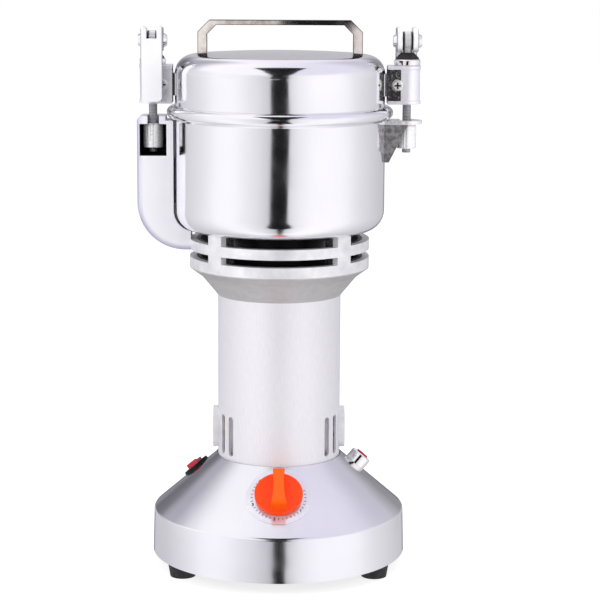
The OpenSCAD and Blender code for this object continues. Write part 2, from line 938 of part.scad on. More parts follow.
module switch_housing() {
  color("black")
    difference() {
      on_cone(-side_turn, switch_r)
        difference() {
          union() {
            translate([0, 0, -switch_depth])
              cylinder(d = switch_body_d, h = switch_depth + switch_flange - cut / 2);
            translate([0, 0, -cut])
              cylinder(d1 = bezel_d, d2 = bezel_d - cut, h = switch_flange + cut);
          }
          translate([-rocker_l / 2 - rocker_gap, -rocker_w / 2 - rocker_gap, -switch_cavity])
            cube([rocker_l + 2 * rocker_gap, rocker_w + 2 * rocker_gap, 2 * switch_cavity]);
          translate([0, 0, rocker_pivot])
            bar_y(rocker_pin_d + 2 * run_gap, -rocker_half - rocker_gap, rocker_half + rocker_gap);
        }
      difference() {
        base_solid();
        on_cone(-side_turn, switch_r)
          translate([0, 0, -switch_depth - cut])
            cylinder(d = switch_body_d, h = switch_depth + 2 * switch_flange);
      }
    }
}

module switch_rocker() {
  half = rocker_l / 2 - rocker_gap;
  color("red")
    on_cone(-side_turn, switch_r)
      translate([0, 0, rocker_pivot])
        union() {
          rotate([0, -rocker_tilt, 0])
            rotate([90, 0, 0])
              translate([0, 0, -rocker_w / 2])
                linear_extrude(rocker_w)
                  polygon(concat(
                    arc(0, 0, rocker_round, 180, 360, 16),
                    [[half - rocker_edge, rocker_face + rocker_rise], [0, rocker_face - rocker_dip],
                     [rocker_edge - half, rocker_face + rocker_rise]]
                  ));
          bar_y(rocker_pin_d, -rocker_half, rocker_half);
        }
}

// Overload breaker

module breaker_body() {
  color("dimgray")
    on_cone(side_turn, breaker_r)
      difference() {
        union() {
          translate([0, 0, breaker_top - breaker_depth])
            cylinder(d = breaker_body_d, h = breaker_depth);
          translate([0, 0, breaker_top - cut])
            cylinder(d = breaker_neck_d, h = breaker_h - breaker_top + cut - collar_edge);
        }
        translate([0, 0, button_room])
          cylinder(d = breaker_bore, h = 3 * breaker_depth);
      }
}

module breaker_collar() {
  color("silver")
    difference() {
      on_cone(side_turn, breaker_r)
        rotate_extrude()
          polygon([[breaker_neck_d / 2 + run_gap, -cut], [breaker_d / 2, -cut],
               [breaker_d / 2, breaker_h - collar_edge],
               [breaker_d / 2 - collar_edge, breaker_h],
               [breaker_neck_d / 2 + run_gap, breaker_h]]);
      base_solid();
    }
}

module reset_button() {
  color("red")
    on_cone(side_turn, breaker_r)
      rotate_extrude()
        polygon(concat(
          [[0, button_low], [button_d / 2, button_low]],
          arc(button_d / 2 - collar_edge, breaker_h + button_proud - collar_edge, collar_edge, 0, 90, 4),
          [[0, breaker_h + button_proud]]
        ));
}

// Motor tube and brushes

module vent_slot() {
  translate([0, cut - tube_r + tube_wall, 0])
    rotate([90, 0, 0])
      linear_extrude(tube_wall + 2 * cut)
        union() {
          translate([0, slot_w / 2])
            circle(d = slot_w);
          translate([0, slot_h - slot_w / 2])
            circle(d = slot_w);
          translate([-slot_w / 2, slot_w / 2])
            square([slot_w, slot_h - slot_w]);
        }
}

module motor_tube() {
  color("silver")
    difference() {
      ring(tube_r, tube_in_r, collar_z, tube_top_z - collar_z);
      for (side = [0, 180], way = [-1, 1], step = [0, 1])
        rotate([0, 0, side + way * (slot_turn + step * slot_pitch)])
          translate([0, 0, slot_z])
            vent_slot();
      translate([0, 0, brush_z])
        bar_x(holder_d + fit_gap, -tube_r - cut, tube_r + cut);
    }
}

module brush_caps() {
  color("gray")
    both_sides()
      difference() {
        translate([0, 0, brush_z])
          bar_x(cap_d, tube_in_r - cap_proud, cap_out);
        cylinder(r = tube_r, h = tube_top_z);
        translate([cap_out - cap_slot_depth, -cap_slot_w / 2, brush_z - cap_d])
          cube([2 * cap_slot_depth, cap_slot_w, 2 * cap_d]);
      }
}

module brush_channel(gap) {
  translate([holder_in - brush_l, -brush_w / 2 - gap, brush_z - brush_h / 2 - gap])
    cube([holder_out, brush_w + 2 * gap, brush_h + 2 * gap]);
}

module brush_holders() {
  color("goldenrod")
    both_sides()
      difference() {
        translate([0, 0, brush_z])
          bar_x(holder_d, holder_in, holder_out);
        brush_channel(fit_gap);
      }
}

module carbon_brushes() {
  start = commutator_d / 2 + move_gap;
  color("darkslategray")
    both_sides()
      translate([start, -brush_w / 2, brush_z - brush_h / 2])
        cube([brush_l, brush_w, brush_h]);
}

// Lower bracket and bearing

module bearing_bracket() {
  boss_r = small_bearing_d / 2 + boss_wall;
  seat_z = collar_z + bearing_floor;
  color("lightgray")
    difference() {
      union() {
        ring(tube_in_r - fit_gap, small_bearing_bore, collar_z, bracket_base_t);
        ring(boss_r, small_bearing_bore, collar_z, bearing_floor + small_bearing_h);
        ring(cup_out_r, cup_out_r - cup_wall, collar_z, cup_top_z - collar_z);
      }
      translate([0, 0, seat_z])
        cylinder(d = small_bearing_d + 2 * run_gap, h = small_bearing_h + cut);
      translate([-cup_window_w / 2, -tube_r, collar_z + 2 * bracket_base_t])
        cube([cup_window_w, tube_d, cup_window_h]);
      translate([0, 0, brush_z])
        bar_x(holder_d + fit_gap, -tube_r, tube_r);
      around(bracket_bolt_n, bracket_bolt_r, bracket_bolt_turn)
        translate([0, 0, collar_z + bracket_base_t])
          screw_hole(bracket_base_t + cut);
    }
}

module bracket_bolts() {
  color("silver")
    around(bracket_bolt_n, bracket_bolt_r, bracket_bolt_turn)
      translate([0, 0, collar_z - sheet])
        mirror([0, 0, 1])
          screw(sheet + bracket_base_t);
}

module bearing(d, bore, h, z) {
  race_t = (d - bore) / 2 * race_share;
  in_r = bore / 2 + race_t;
  out_r = d / 2 - race_t;
  groove = race_t / 2;
  translate([0, 0, z])
    rotate_extrude()
      polygon([[bore / 2 + run_gap, 0], [in_r, 0], [in_r, groove], [out_r, groove], [out_r, 0],
           [d / 2, 0], [d / 2, h], [out_r, h], [out_r, h - groove], [in_r, h - groove], [in_r, h],
           [bore / 2 + run_gap, h]]);
}

module lower_bearing() {
  color("silver")
    bearing(small_bearing_d, small_bearing_bore, small_bearing_h, collar_z + bearing_floor);
}

// Stator and armature

module stator_core() {
  color("slategray")
    translate([0, 0, stack_z])
      linear_extrude(stack_h)
        difference() {
          circle(r = stator_r);
          circle(r = stator_bore_r);
          for (turn = [pole_turn, 180 - pole_turn - slot_span,
                 180 + pole_turn, 360 - pole_turn - slot_span])
            polygon(sector(slot_in_r, slot_out_r, turn, turn + slot_span));
        }
}

module stator_windings() {
  reach = pole_turn + slot_span - 1;
  inner = pole_turn + 1;
  color("peru")
    both_sides()
      difference() {
        translate([0, 0, stack_z - coil_end])
          linear_extrude(stack_h + 2 * coil_end)
            polygon(sector(slot_in_r + fit_gap, slot_out_r - fit_gap, -reach, reach));
        translate([0, 0, stack_z - fit_gap])
          linear_extrude(stack_h + 2 * fit_gap)
            polygon(sector(slot_in_r - cut, slot_out_r + cut, -inner, inner));
      }
}

module motor_shaft() {
  small_r = small_bearing_bore / 2;
  core_r = core_shaft_d / 2;
  step_z = collar_z + bearing_floor + small_bearing_h;
  color("silver")
    rotate_extrude()
      polygon([[0, shaft_end_z], [small_r, shaft_end_z], [small_r, step_z], [core_r, step_z],
           [core_r, big_bearing_z - bearing_step], [blade_shaft_r, big_bearing_z - bearing_step],
           [blade_shaft_r, blade_stack_z], [stud_d / 2, blade_stack_z],
           [stud_d / 2, blade_stack_z + stud_h], [0, blade_stack_z + stud_h]]);
}

module commutator() {
  bar_gap = 0.5;
  color("chocolate")
    translate([0, 0, brush_z - commutator_h / 2])
      difference() {
        cylinder(d = commutator_d, h = commutator_h);
        translate([0, 0, -cut])
          cylinder(d = core_shaft_d, h = commutator_h + 2 * cut);
        around(bar_n, commutator_d / 2 - bar_gap)
          translate([0, -bar_gap / 2, -cut])
            cube([2 * bar_gap, bar_gap, commutator_h + 2 * cut]);
      }
}

module armature_core() {
  color("slategray")
    translate([0, 0, stack_z])
      linear_extrude(stack_h)
        difference() {
          circle(r = armature_r);
          circle(d = core_shaft_d);
          for (i = [0:bar_n / 2 - 1])
            rotate(i * 720 / bar_n)
              translate([armature_r - tooth_depth, -tooth_gap / 2])
                square([tooth_depth + cut, tooth_gap]);
        }
}

module armature_windings() {
  round_r = 3;
  bulge = concat(
    [[core_shaft_d / 2, 0], [end_turn_r, 0]],
    arc(end_turn_r - round_r, end_turn_h - round_r, round_r, 0, 90, 6),
    [[core_shaft_d / 2, end_turn_h]]
  );
  color("peru")
    union() {
      translate([0, 0, stack_top_z])
        rotate_extrude()
          polygon(bulge);
      translate([0, 0, stack_z])
        mirror([0, 0, 1])
          rotate_extrude()
            polygon(bulge);
    }
}

module cooling_fan() {
  color("darkslategray")
    translate([0, 0, fan_z])
      difference() {
        union() {
          cylinder(r = fan_r, h = fan_disc_t);
          cylinder(d = fan_hub_d, h = fan_h);
          around(fan_n, fan_hub_d / 2 - cut)
            rotate([0, 0, slot_pitch])
              translate([0, -fan_blade_t / 2, 0])
                cube([fan_r - fan_hub_d / 2 - cut, fan_blade_t, fan_h]);
        }
        translate([0, 0, -cut])
          cylinder(d = core_shaft_d, h = fan_h + 2 * cut);
      }
}

// Vent neck

module vent_neck() {
  spigot_r = tube_in_r - fit_gap;
  color("lightgray")
    difference() {
      union() {
        rotate_extrude()
          polygon([[spigot_r, tube_top_z - spigot_h], [spigot_r, tube_top_z],
              [tube_r + move_gap, tube_top_z],
               [neck_mid_r, neck_mid_z], [ring_r, low_ring_z - ring_edge], [ring_r, low_ring_top],
               [ring_in_r, low_ring_top], [ring_in_r, low_ring_z + ring_step],
               [mount_r + fit_gap, ledge_z + mount_t], [mount_r + fit_gap, ledge_z],
               [ledge_in_r, ledge_z], [ledge_in_r, ledge_z - ledge_t],
               [spigot_r - spigot_t, tube_top_z + spigot_t],
               [spigot_r - spigot_t, tube_top_z - spigot_h]]);
        ring(ring_r, ring_in_r, up_ring_z, up_ring_h);
        intersection() {
          ring(ring_r, post_in_r, low_ring_z, bowl_z + bowl_corner - low_ring_z);
          around(post_n, (ring_r + post_in_r) / 2, post_turn)
            translate([-ring_t, -post_w / 2, low_ring_z])
              cube([2 * ring_t, post_w, bowl_z + bowl_corner - low_ring_z]);
        }
      }
      bowl_solid();
      around(post_n, bowl_screw_r, post_turn)
        translate([0, 0, bowl_z])
          screw_hole(bowl_screw_depth + cut);
      for (side = [-1, 1])
        translate([-ring_r - cut, side * arm_screw_y, arm_screw_z])
          bar_x(screw_d + fit_gap, 0, ring_t + 2 * cut);
    }
}

module upper_bearing() {
  color("silver")
    bearing(big_bearing_d, blade_shaft_d, big_bearing_h, big_bearing_z);
}

module mounting_plate() {
  boss_r = big_bearing_d / 2 + mount_boss_wall;
  boss_top = big_bearing_z + big_bearing_h + mount_lip_t;
  color("dimgray")
    difference() {
      union() {
        translate([0, 0, ledge_z])
          cylinder(r = mount_r, h = mount_t);
        translate([0, 0, ledge_z - mount_boss_drop])
          cylinder(r = boss_r, h = boss_top - ledge_z + mount_boss_drop);
      }
      translate([0, 0, ledge_z - mount_boss_drop - cut])
        cylinder(r = big_bearing_d / 2 + run_gap,
             h = big_bearing_z + big_bearing_h - ledge_z + mount_boss_drop + cut);
      cylinder(r = big_bearing_d / 2 - mount_lip_w, h = boss_top + cut);
      for (i = [0:mount_window_n - 1])
        rotate([0, 0, i * 360 / mount_window_n])
          translate([0, 0, ledge_z - cut])
            linear_extrude(mount_t + 2 * cut)
              polygon(sector(mount_window_in, mount_window_out,
                      -mount_window_span / 2, mount_window_span / 2));
    }
}

module seal_housing() {
  floor_z = ledge_z + mount_t;
  color("black")
    difference() {
      translate([0, 0, floor_z])
        cylinder(r = housing_out_r, h = bowl_z - floor_z);
      translate([0, 0, floor_z - cut])
        cylinder(r = housing_out_r - housing_wall, h = bowl_z - floor_z - housing_top_t + cut);
      cylinder(r = seal_body_r + fit_gap, h = bowl_z + cut);
    }
}

module shaft_seal() {
  color("dimgray")
    difference() {
      union() {
        translate([0, 0, bowl_z - housing_top_t + fit_gap])
          cylinder(r = seal_body_r, h = housing_top_t + bowl_wall);
        translate([0, 0, bowl_floor_z])
          cylinder(r = seal_flange_r, h = seal_flange_t);
      }
      cylinder(r = blade_shaft_r + move_gap, h = bowl_top_z);
    }
}

// Bowl

module bowl_solid() {
  rotate_extrude()
    polygon(concat(
      [[0, bowl_z]],
      arc(bowl_r - bowl_corner, bowl_z + bowl_corner, bowl_corner, -90, 0),
      [[bowl_r, bowl_top_z], [0, bowl_top_z]]
    ));
}

module grinding_bowl() {
  bend = bead_h / 2;
  corner_r = bowl_r - bowl_corner;
  corner_z = bowl_z + bowl_corner;
  mouth_r = bowl_r + bead_wall;
  mouth_in_r = lid_r + move_gap;
  color("whitesmoke")
    difference() {
      rotate_extrude()
        difference() {
          polygon(concat(
            [[seal_body_r + fit_gap, bowl_z]],
            arc(corner_r, corner_z, bowl_corner, -90, 0, 8),
            [[bowl_r, bead_z - bead_fillet], [bowl_r + bead_fillet / 2, bead_z - bead_fillet / 4]],
            arc(bead_r - bend, bead_z + bend, bend, -90, 90, 8),
            [[mouth_in_r + bead_edge / 3, bead_top_z - bead_edge / 3], [mouth_in_r, bead_top_z - bead_edge],
             [mouth_in_r, bowl_top_z], [bowl_in_r, bowl_top_z]],
            arc(corner_r, corner_z, bowl_corner - bowl_wall, 0, -90, 8),
            [[seal_body_r + fit_gap, bowl_floor_z]]
          ));
          polygon(arc(bead_r - bend, bead_z + bend, bend - bead_wall, -90, 90, 4));
          translate([mouth_r, bead_z - cut])
            square([bead_mouth, bend]);
        }
      around(post_n, bowl_screw_r, post_turn)
        translate([0, 0, bowl_floor_z])
          screw_hole(bowl_wall + cut);
    }
}

module bowl_screws() {
  color("silver")
    around(post_n, bowl_screw_r, post_turn)
      translate([0, 0, bowl_floor_z])
        screw(bowl_screw_depth);
}

// Curved slot that lets a rod swing out of its seat, for the right-hand side
module rod_slot(z, h) {
  translate([0, 0, z])
    union() {
      linear_extrude(h)
        polygon(sector(clamp_r - rod_slot_w / 2, clamp_r + rod_slot_w / 2, 0, free_turn));
      translate([clamp_r, 0, 0])
        cylinder(d = rod_slot_w, h = h);
    }
}

module bowl_catch() {
  low_z = catch_top_z - catch_h;
  color("silver")
    difference() {
      union() {
        intersection() {
          ring(bowl_r + catch_wall, bowl_r, low_z, catch_h);
          translate([0, -catch_w / 2, low_z])
            cube([arm_x, catch_w, catch_h]);
        }
        difference() {
          translate([0, 0, roof_z])
            union() {
              translate([bowl_r - catch_wall, -catch_w / 2, 0])
                cube([clamp_reach + catch_wall, catch_w, catch_t]);
              translate([clamp_r, 0, 0])
                cylinder(r = catch_r, h = catch_t);
            }
          cylinder(r = bowl_r, h = bowl_top_z);
          rod_slot(roof_z - cut, catch_t + 2 * cut);
        }
        difference() {
          translate([0, gusset_t - catch_w / 2, 0])
            rotate([90, 0, 0])
              linear_extrude(gusset_t)
                polygon([[bowl_r - catch_wall, low_z], [bowl_r + catch_wall, low_z],
                     [gusset_x, roof_z], [gusset_x, roof_z + catch_t / 2],
                     [bowl_r - catch_wall, roof_z + catch_t / 2]]);
          cylinder(r = bowl_r, h = bowl_top_z);
        }
      }
    }
}

// Latch arm, at the left

module arm_outline() {
  tuck = acos((bowl_r - bowl_corner - arm_foot_x) / (bowl_corner + arm_gap));
  polygon(concat(
    [[-arm_in_x, arm_tuck_z], [-arm_tuck_x, arm_tuck_z], [-arm_tuck_x, roof_top_z]],
    arc(arm_top_corner - arm_x, roof_top_z - arm_top_corner, arm_top_corner, 90, 180),
    arc(arm_bend - arm_x, arm_z + arm_bend, arm_bend, 180, 270, 18),
    [[-arm_foot_x, arm_z]],
    arc(bowl_corner - bowl_r, bowl_z + bowl_corner, bowl_corner + arm_gap, 360 - tuck, 180)
  ));
}

module arm_plan() {
  half = arm_w / 2;
  union() {
    translate([-arm_x + arm_edge_r, -half])
      square([arm_x - arm_edge_r, arm_w]);
    translate([-arm_x, arm_edge_r - half])
      square([2 * arm_edge_r, arm_w - 2 * arm_edge_r]);
    for (side = [-1, 1])
      translate([arm_edge_r - arm_x, side * (half - arm_edge_r)])
        circle(r = arm_edge_r);
  }
}

module latch_arm() {
  color("whitesmoke")
    difference() {
      intersection() {
        rotate([90, 0, 0])
          linear_extrude(arm_w, center = true)
            arm_outline();
        linear_extrude(bowl_top_z)
          arm_plan();
      }
      cylinder(r = ring_r, h = bowl_z);
      translate([-window_x - window_w, -arm_w, window_z])
        cube([window_w, arm_w + window_back, window_h]);
      rotate([0, 0, 180])
        rod_slot(roof_z - cut, roof_t + 2 * cut);
      translate([-channel_x, -channel_half_w, channel_low_z])
        cube([channel_x, 2 * channel_half_w, window_z - channel_t - channel_low_z]);
      for (side = [-1, 1])
        translate([-arm_x, side * arm_screw_y, arm_screw_z])
          union() {
            bar_x(screw_d + fit_gap, 0, arm_x);
            bar_x(screw_head_d + 2 * fit_gap, -cut, arm_x - arm_screw_head_x);
          }
    }
}

module arm_screws() {
  color("silver")
    for (side = [-1, 1])
      translate([-arm_screw_head_x, side * arm_screw_y, arm_screw_z])
        rotate([0, -90, 0])
          screw(arm_screw_l);
}

module safety_sensor() {
  color("dimgray")
    translate([-clamp_r - sensor_l / 2, -sensor_w / 2, window_z - channel_t - sensor_h])
      cube([sensor_l, sensor_w, sensor_h]);
}

// Blades

module blade(reach, z, turn, tip_bend) {
  hub_r = blade_w / 2;
  bend_x = reach * blade_bend_share;
  tip_l = (reach - bend_x) / cos(tip_bend);
  tip_w = blade_w * blade_bend_share;
  color("silver")
    translate([0, 0, z])
      rotate([0, 0, turn])
        difference() {
          union() {
            cylinder(r = hub_r, h = blade_t);
            both_sides()
              union() {
                linear_extrude(blade_t)
                  polygon([[0, -hub_r], [bend_x, -tip_w / 2], [bend_x, tip_w / 2], [0, hub_r]]);
                translate([bend_x, 0, 0])
                  rotate([0, -tip_bend, 0])
                    linear_extrude(blade_t)
                      polygon([[-blade_t / 2, -tip_w / 2], [tip_l - blade_t, -tip_w / 2],
                           [tip_l - blade_t, 0], [tip_l * blade_tip_share, tip_w / 2],
                           [-blade_t / 2, tip_w / 2]]);
              }
          }
          translate([0, 0, -cut])
            cylinder(r = blade_shaft_r, h = blade_t + 2 * cut);
        }
}

module lower_blade() {
  blade(low_blade_reach, low_blade_z, low_blade_turn, low_blade_bend);
}

module middle_blade() {
  blade(mid_blade_reach, mid_blade_z, low_blade_turn + blade_step_turn, 0);
}

module upper_blade() {
  blade(up_blade_reach, up_blade_z, low_blade_turn + 2 * blade_step_turn, up_blade_bend);
}

module blade_spacers() {
  color("silver")
    union() {
      ring(spacer_d / 2, blade_shaft_r, low_blade_z - low_spacer_h, low_spacer_h);
      ring(spacer_d / 2, blade_shaft_r, low_blade_z + blade_t, blade_pitch);
      ring(spacer_d / 2, blade_shaft_r, mid_blade_z + blade_t, blade_pitch);
    }
}

module blade_nut() {
  color("silver")
    translate([0, 0, blade_stack_z])
      difference() {
        union() {
          cylinder(d = blade_nut_af / cos(30), h = blade_nut_h, $fn = 6);
          cylinder(d1 = blade_nut_af, d2 = blade_nut_af / 2, h = blade_nut_h + blade_nut_cap);
        }
        translate([0, 0, -cut])
          cylinder(d = stud_d, h = stud_h + cut + fit_gap);
      }
}

// Lid

module lid_solid(inset) {
  low = inset > 0 ? cut : 0;
  rotate_extrude()
    polygon(concat(lid_points(inset), [[lid_r - inset, lid_z - low], [0, lid_z - low]]));
}

module lid_lug() {
  half = cheek_out - bracket_cheek_t - move_gap;
  translate([lid_r - lid_corner, -half, bracket_z + bracket_plate_t + lug_gap])
    cube([lug_end_x - lid_r + lid_corner, 2 * half, bracket_h - 2 * bracket_plate_t - 2 * lug_gap]);
}

module lid_shell() {
  color("whitesmoke")
    difference() {
      union() {
        lid_solid(0);
        both_sides()
          lid_lug();
      }
      lid_solid(lid_wall);
      both_sides()
        union() {
          translate([leg_x, 0, lid_z])
            cylinder(d = screw_d + fit_gap, h = 2 * lid_h);
          translate([cheek_screw_x, 0, cheek_screw_z])
            bar_y(screw_d + fit_gap, -bracket_w, bracket_w);
        }
    }
}

module lid_seal() {
  out_r = lid_r - lid_wall - run_gap;
  low_r = bowl_in_r - seal_clear;
  in_r = out_r - seal_t;
  lip_low = 1.2;
  color("mintcream")
    rotate_extrude()
      polygon([[in_r, lid_z - seal_skirt], [low_r - lip_low, lid_z - seal_skirt],
           [low_r, lid_z - seal_skirt + lip_low], [low_r, lid_z], [out_r, lid_z],
           [out_r, lid_z + seal_body_h], [in_r + lip_low, lid_z + seal_body_h],
           [in_r, lid_z + seal_body_h - lip_low]]);
}

module lid_handle() {
  low = lid_z + lid_h / 2;
  inner = leg_x - handle_w / 2;
  inner_top = handle_top_z - handle_bar_t;
  inner_cut = handle_chamfer - handle_bar_t / 2;
  right = [[handle_x, low], [handle_x, handle_top_z - handle_chamfer],
       [handle_x - handle_chamfer, handle_top_z]];
  inside = [[inner - inner_cut, inner_top], [inner, inner_top - inner_cut], [inner, low]];
  color("silver")
    difference() {
      rotate([90, 0, 0])
        linear_extrude(handle_depth, center = true)
          polygon(concat(
            right,
            [for (i = [2:-1:0]) [-right[i][0], right[i][1]]],
            [for (i = [2:-1:0]) [-inside[i][0], inside[i][1]]],
            inside
          ));
      lid_solid(0);
      both_sides()
        translate([leg_x, 0, lid_z])
          cylinder(d = screw_d + fit_gap, h = lid_h + handle_screw_in);
    }
}

module handle_screws() {
  seat = lid_top_z - lid_crown * pow((leg_x + screw_head_d / 2) / crown_reach, 2) - lid_wall - fit_gap;
  color("silver")
    both_sides()
      translate([leg_x, 0, seat])
        mirror([0, 0, 1])
          screw(handle_screw_in);
}

// Clamps

// Plate with one round end about the rod, for the right-hand side
module bent_plate(r, z, h) {
  translate([bracket_in_x, -r, z])
    cube([clamp_r - bracket_in_x, 2 * r, h]);
  translate([clamp_r, 0, z])
    cylinder(r = r, h = h);
}

module clamp_brackets() {
  inner_r = cheek_out - bracket_cheek_t;
  color("silver")
    both_sides()
      difference() {
        union() {
          bent_plate(cheek_out, bracket_z, bracket_h);
          bent_plate(bracket_r, bracket_z, bracket_plate_t);
          bent_plate(bracket_r, bracket_top_z - bracket_plate_t, bracket_plate_t);
        }
        translate([0, 0, bracket_z + bracket_plate_t])
          union() {
            translate([bracket_in_x - cut, -inner_r, 0])
              cube([clamp_r - bracket_in_x + cut, 2 * inner_r, bracket_h - 2 * bracket_plate_t]);
            translate([clamp_r, 0, 0])
              cylinder(r = inner_r, h = bracket_h - 2 * bracket_plate_t);
          }
        translate([clamp_r, 0, bracket_z - cut])
          cylinder(r = rod_hole_r, h = bracket_h + 2 * cut);
        translate([cheek_screw_x, 0, cheek_screw_z])
          bar_y(screw_d + fit_gap, -bracket_w, bracket_w);
      }
}

module bracket_screws() {
  color("silver")
    both_sides()
      for (side = [0, 180])
        translate([cheek_screw_x, 0, cheek_screw_z])
          rotate([0, 0, side])
            translate([0, -cheek_out, 0])
              rotate([90, 0, 0])
                screw(cheek_screw_l, cheek_head_d, cheek_head_h);
}

module clamp_washers() {
  edge = 0.7;
  color("silver")
    both_sides()
      translate([clamp_r, 0, washer_z])
        rotate_extrude()
          polygon([[rod_hole_r, 0], [washer_d / 2 - edge, 0], [washer_d / 2, edge],
               [washer_d / 2, washer_h - edge], [washer_d / 2 - edge, washer_h],
               [rod_hole_r, washer_h]]);
}

module clamp_domes() {
  low_r = washer_d / 2 - dome_step;
  top_r = low_r - dome_lean;
  edge = 1.2;
  color("black")
    both_sides()
      translate([clamp_r, 0, dome_z])
        rotate_extrude()
          polygon([[rod_hole_r, 0], [low_r, 0], [low_r - edge / 3, edge], [top_r, dome_h - edge / 3],
               [top_r - edge / 3, dome_h], [rod_hole_r, dome_h]]);
}

module eye_bolt() {
  color("silver")
    translate([clamp_r, 0, 0])
      difference() {
        union() {
          translate([0, 0, rod_end_z])
            cylinder(r = rod_r, h = tongue_z - rod_end_z + cut);
          translate([-tongue_w / 2, -tongue_depth / 2, tongue_z])
            cube([tongue_w, tongue_depth, pin_z - tongue_z]);
          translate([0, 0, pin_z])
            bar_x(2 * tongue_r, -tongue_w / 2, tongue_w / 2);
        }
        translate([0, 0, pin_z])
          bar_x(pin_d, -tongue_w, tongue_w);
        translate([-tongue_w, -tongue_w, tongue_z - 2 * tongue_w])
          difference() {
            cube([2 * tongue_w, 2 * tongue_w, 2 * tongue_w]);
            translate([tongue_w, tongue_w, -cut])
              cylinder(r = rod_r, h = 2 * tongue_w + 2 * cut);
          }
      }
}

module clamp_nut() {
  r = nut_d / 2;
  color("silver")
    translate([clamp_r, 0, nut_z])
      rotate_extrude()
        polygon([[rod_r + run_gap, 0], [r - nut_chamfer / 2, 0], [r, nut_chamfer / 2],
             [r, nut_h - nut_chamfer], [r - nut_chamfer, nut_h], [rod_r + run_gap, nut_h]]);
}

module clamp_pin() {
  head_in = lever_w / 2 + fit_gap;
  edge = 1.4;
  color("silver")
    translate([clamp_r, 0, pin_z])
      union() {
        bar_x(pin_d, -pin_half + edge, pin_half - edge);
        both_sides()
          translate([head_in, 0, 0])
            rotate([0, 90, 0])
              cylinder(d1 = pin_head_d, d2 = pin_head_d - 2 * edge, h = pin_half - head_in);
      }
}

// Front of one ear beside the pin, with a round top
module ear_outline(in_x, low) {
  ear_w = lever_w / 2 - in_x;
  union() {
    translate([in_x, low])
      square([ear_w, lever_top - ear_w / 2 - low]);
    translate([in_x + ear_w / 2, lever_top - ear_w / 2])
      circle(d = ear_w);
  }
}

module lever_grip_outline() {
  half = lever_w / 2;
  union() {
    polygon(concat(
      [[-half, lever_slot_z]],
      arc(lever_corner - half, lever_corner - lever_drop, lever_corner, 180, 270, 6),
      arc(half - lever_corner, lever_corner - lever_drop, lever_corner, 270, 360, 6),
      [[half, lever_slot_z]]
    ));
    for (side = [0, 1])
      mirror([side, 0])
        ear_outline(lever_slot_w / 2, lever_slot_z - cut);
  }
}

module lever_cheek() {
  cheek = concat(
    [for (i = [0:cam_steps]) cam_point(-cam_before + (cam_before + cam_after) * i / cam_steps)],
    [[-cheek_back, lever_top - cheek_edge], [-cheek_back / 3, lever_top],
     [lever_in_y + lever_t / 2, lever_top], [lever_in_y + lever_t / 2, -cheek_low]]
  );
  intersection() {
    translate([(cheek_in + lever_w / 2) / 2, 0, 0])
      rotate([90, 0, 90])
        linear_extrude(lever_w / 2 - cheek_in, center = true)
          polygon(cheek);
    rotate([90, 0, 0])
      linear_extrude(4 * lever_top, center = true)
        ear_outline(cheek_in, -2 * lever_top);
  }
}

module lever() {
  color("gainsboro")
    translate([clamp_r, 0, pin_z])
      difference() {
        union() {
          translate([0, lever_in_y + lever_t, 0])
            rotate([90, 0, 0])
              linear_extrude(lever_t)
                lever_grip_outline();
          for (side = [0, 1])
            mirror([side, 0, 0])
              lever_cheek();
        }
        bar_x(pin_d + 2 * run_gap, -lever_w, lever_w);
      }
}

module turned_left() {
  rotate([0, 0, 180])
    children();
}

module left_eye_bolt() { turned_left() eye_bolt(); }
module left_clamp_nut() { turned_left() clamp_nut(); }
module left_clamp_pin() { turned_left() clamp_pin(); }
module left_lever() { turned_left() lever(); }
module right_eye_bolt() { eye_bolt(); }
module right_clamp_nut() { clamp_nut(); }
module right_clamp_pin() { clamp_pin(); }
module right_lever() { lever(); }

base_shell();
base_plate();
rubber_feet();
foot_screws();
cord_gland();
timer_dial();
timer_body();
timer_shaft();
timer_knob();
switch_housing();
switch_rocker();
breaker_body();
breaker_collar();
reset_button();
motor_tube();
brush_caps();
brush_holders();
carbon_brushes();
bearing_bracket();
bracket_bolts();
lower_bearing();
stator_core();
stator_windings();
motor_shaft();
commutator();
armature_core();
armature_windings();
cooling_fan();
upper_bearing();
mounting_plate();
vent_neck();
seal_housing();
shaft_seal();
grinding_bowl();
bowl_screws();
bowl_catch();
latch_arm();
arm_screws();
safety_sensor();
lower_blade();
middle_blade();
upper_blade();
blade_spacers();
blade_nut();
lid_shell();
lid_seal();
lid_handle();
handle_screws();
clamp_brackets();
bracket_screws();
clamp_washers();
clamp_domes();
left_eye_bolt();
left_clamp_nut();
left_clamp_pin();
left_lever();
right_eye_bolt();
right_clamp_nut();
right_clamp_pin();
right_lever();
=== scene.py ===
"""Finishes, printed dial and photo studio for the powder grinder.

Lengths are in metres, Z is up and the front faces -Y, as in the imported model.
"""
import json
import math

import bpy
from mathutils import Matrix, Vector


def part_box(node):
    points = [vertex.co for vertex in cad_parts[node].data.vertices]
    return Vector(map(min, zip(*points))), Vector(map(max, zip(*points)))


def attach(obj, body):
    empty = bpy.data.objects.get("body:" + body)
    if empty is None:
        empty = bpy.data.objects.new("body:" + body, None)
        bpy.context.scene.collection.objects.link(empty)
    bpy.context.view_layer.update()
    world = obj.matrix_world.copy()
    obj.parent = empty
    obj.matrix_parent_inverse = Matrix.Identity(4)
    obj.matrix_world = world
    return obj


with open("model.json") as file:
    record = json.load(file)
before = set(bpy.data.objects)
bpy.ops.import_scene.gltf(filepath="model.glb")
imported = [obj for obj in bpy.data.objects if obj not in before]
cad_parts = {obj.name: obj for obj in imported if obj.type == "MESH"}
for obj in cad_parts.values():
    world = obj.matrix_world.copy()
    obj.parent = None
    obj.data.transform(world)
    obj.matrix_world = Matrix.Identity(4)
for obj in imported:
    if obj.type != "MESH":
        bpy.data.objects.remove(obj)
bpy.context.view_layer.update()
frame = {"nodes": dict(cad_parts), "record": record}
MM = 0.001

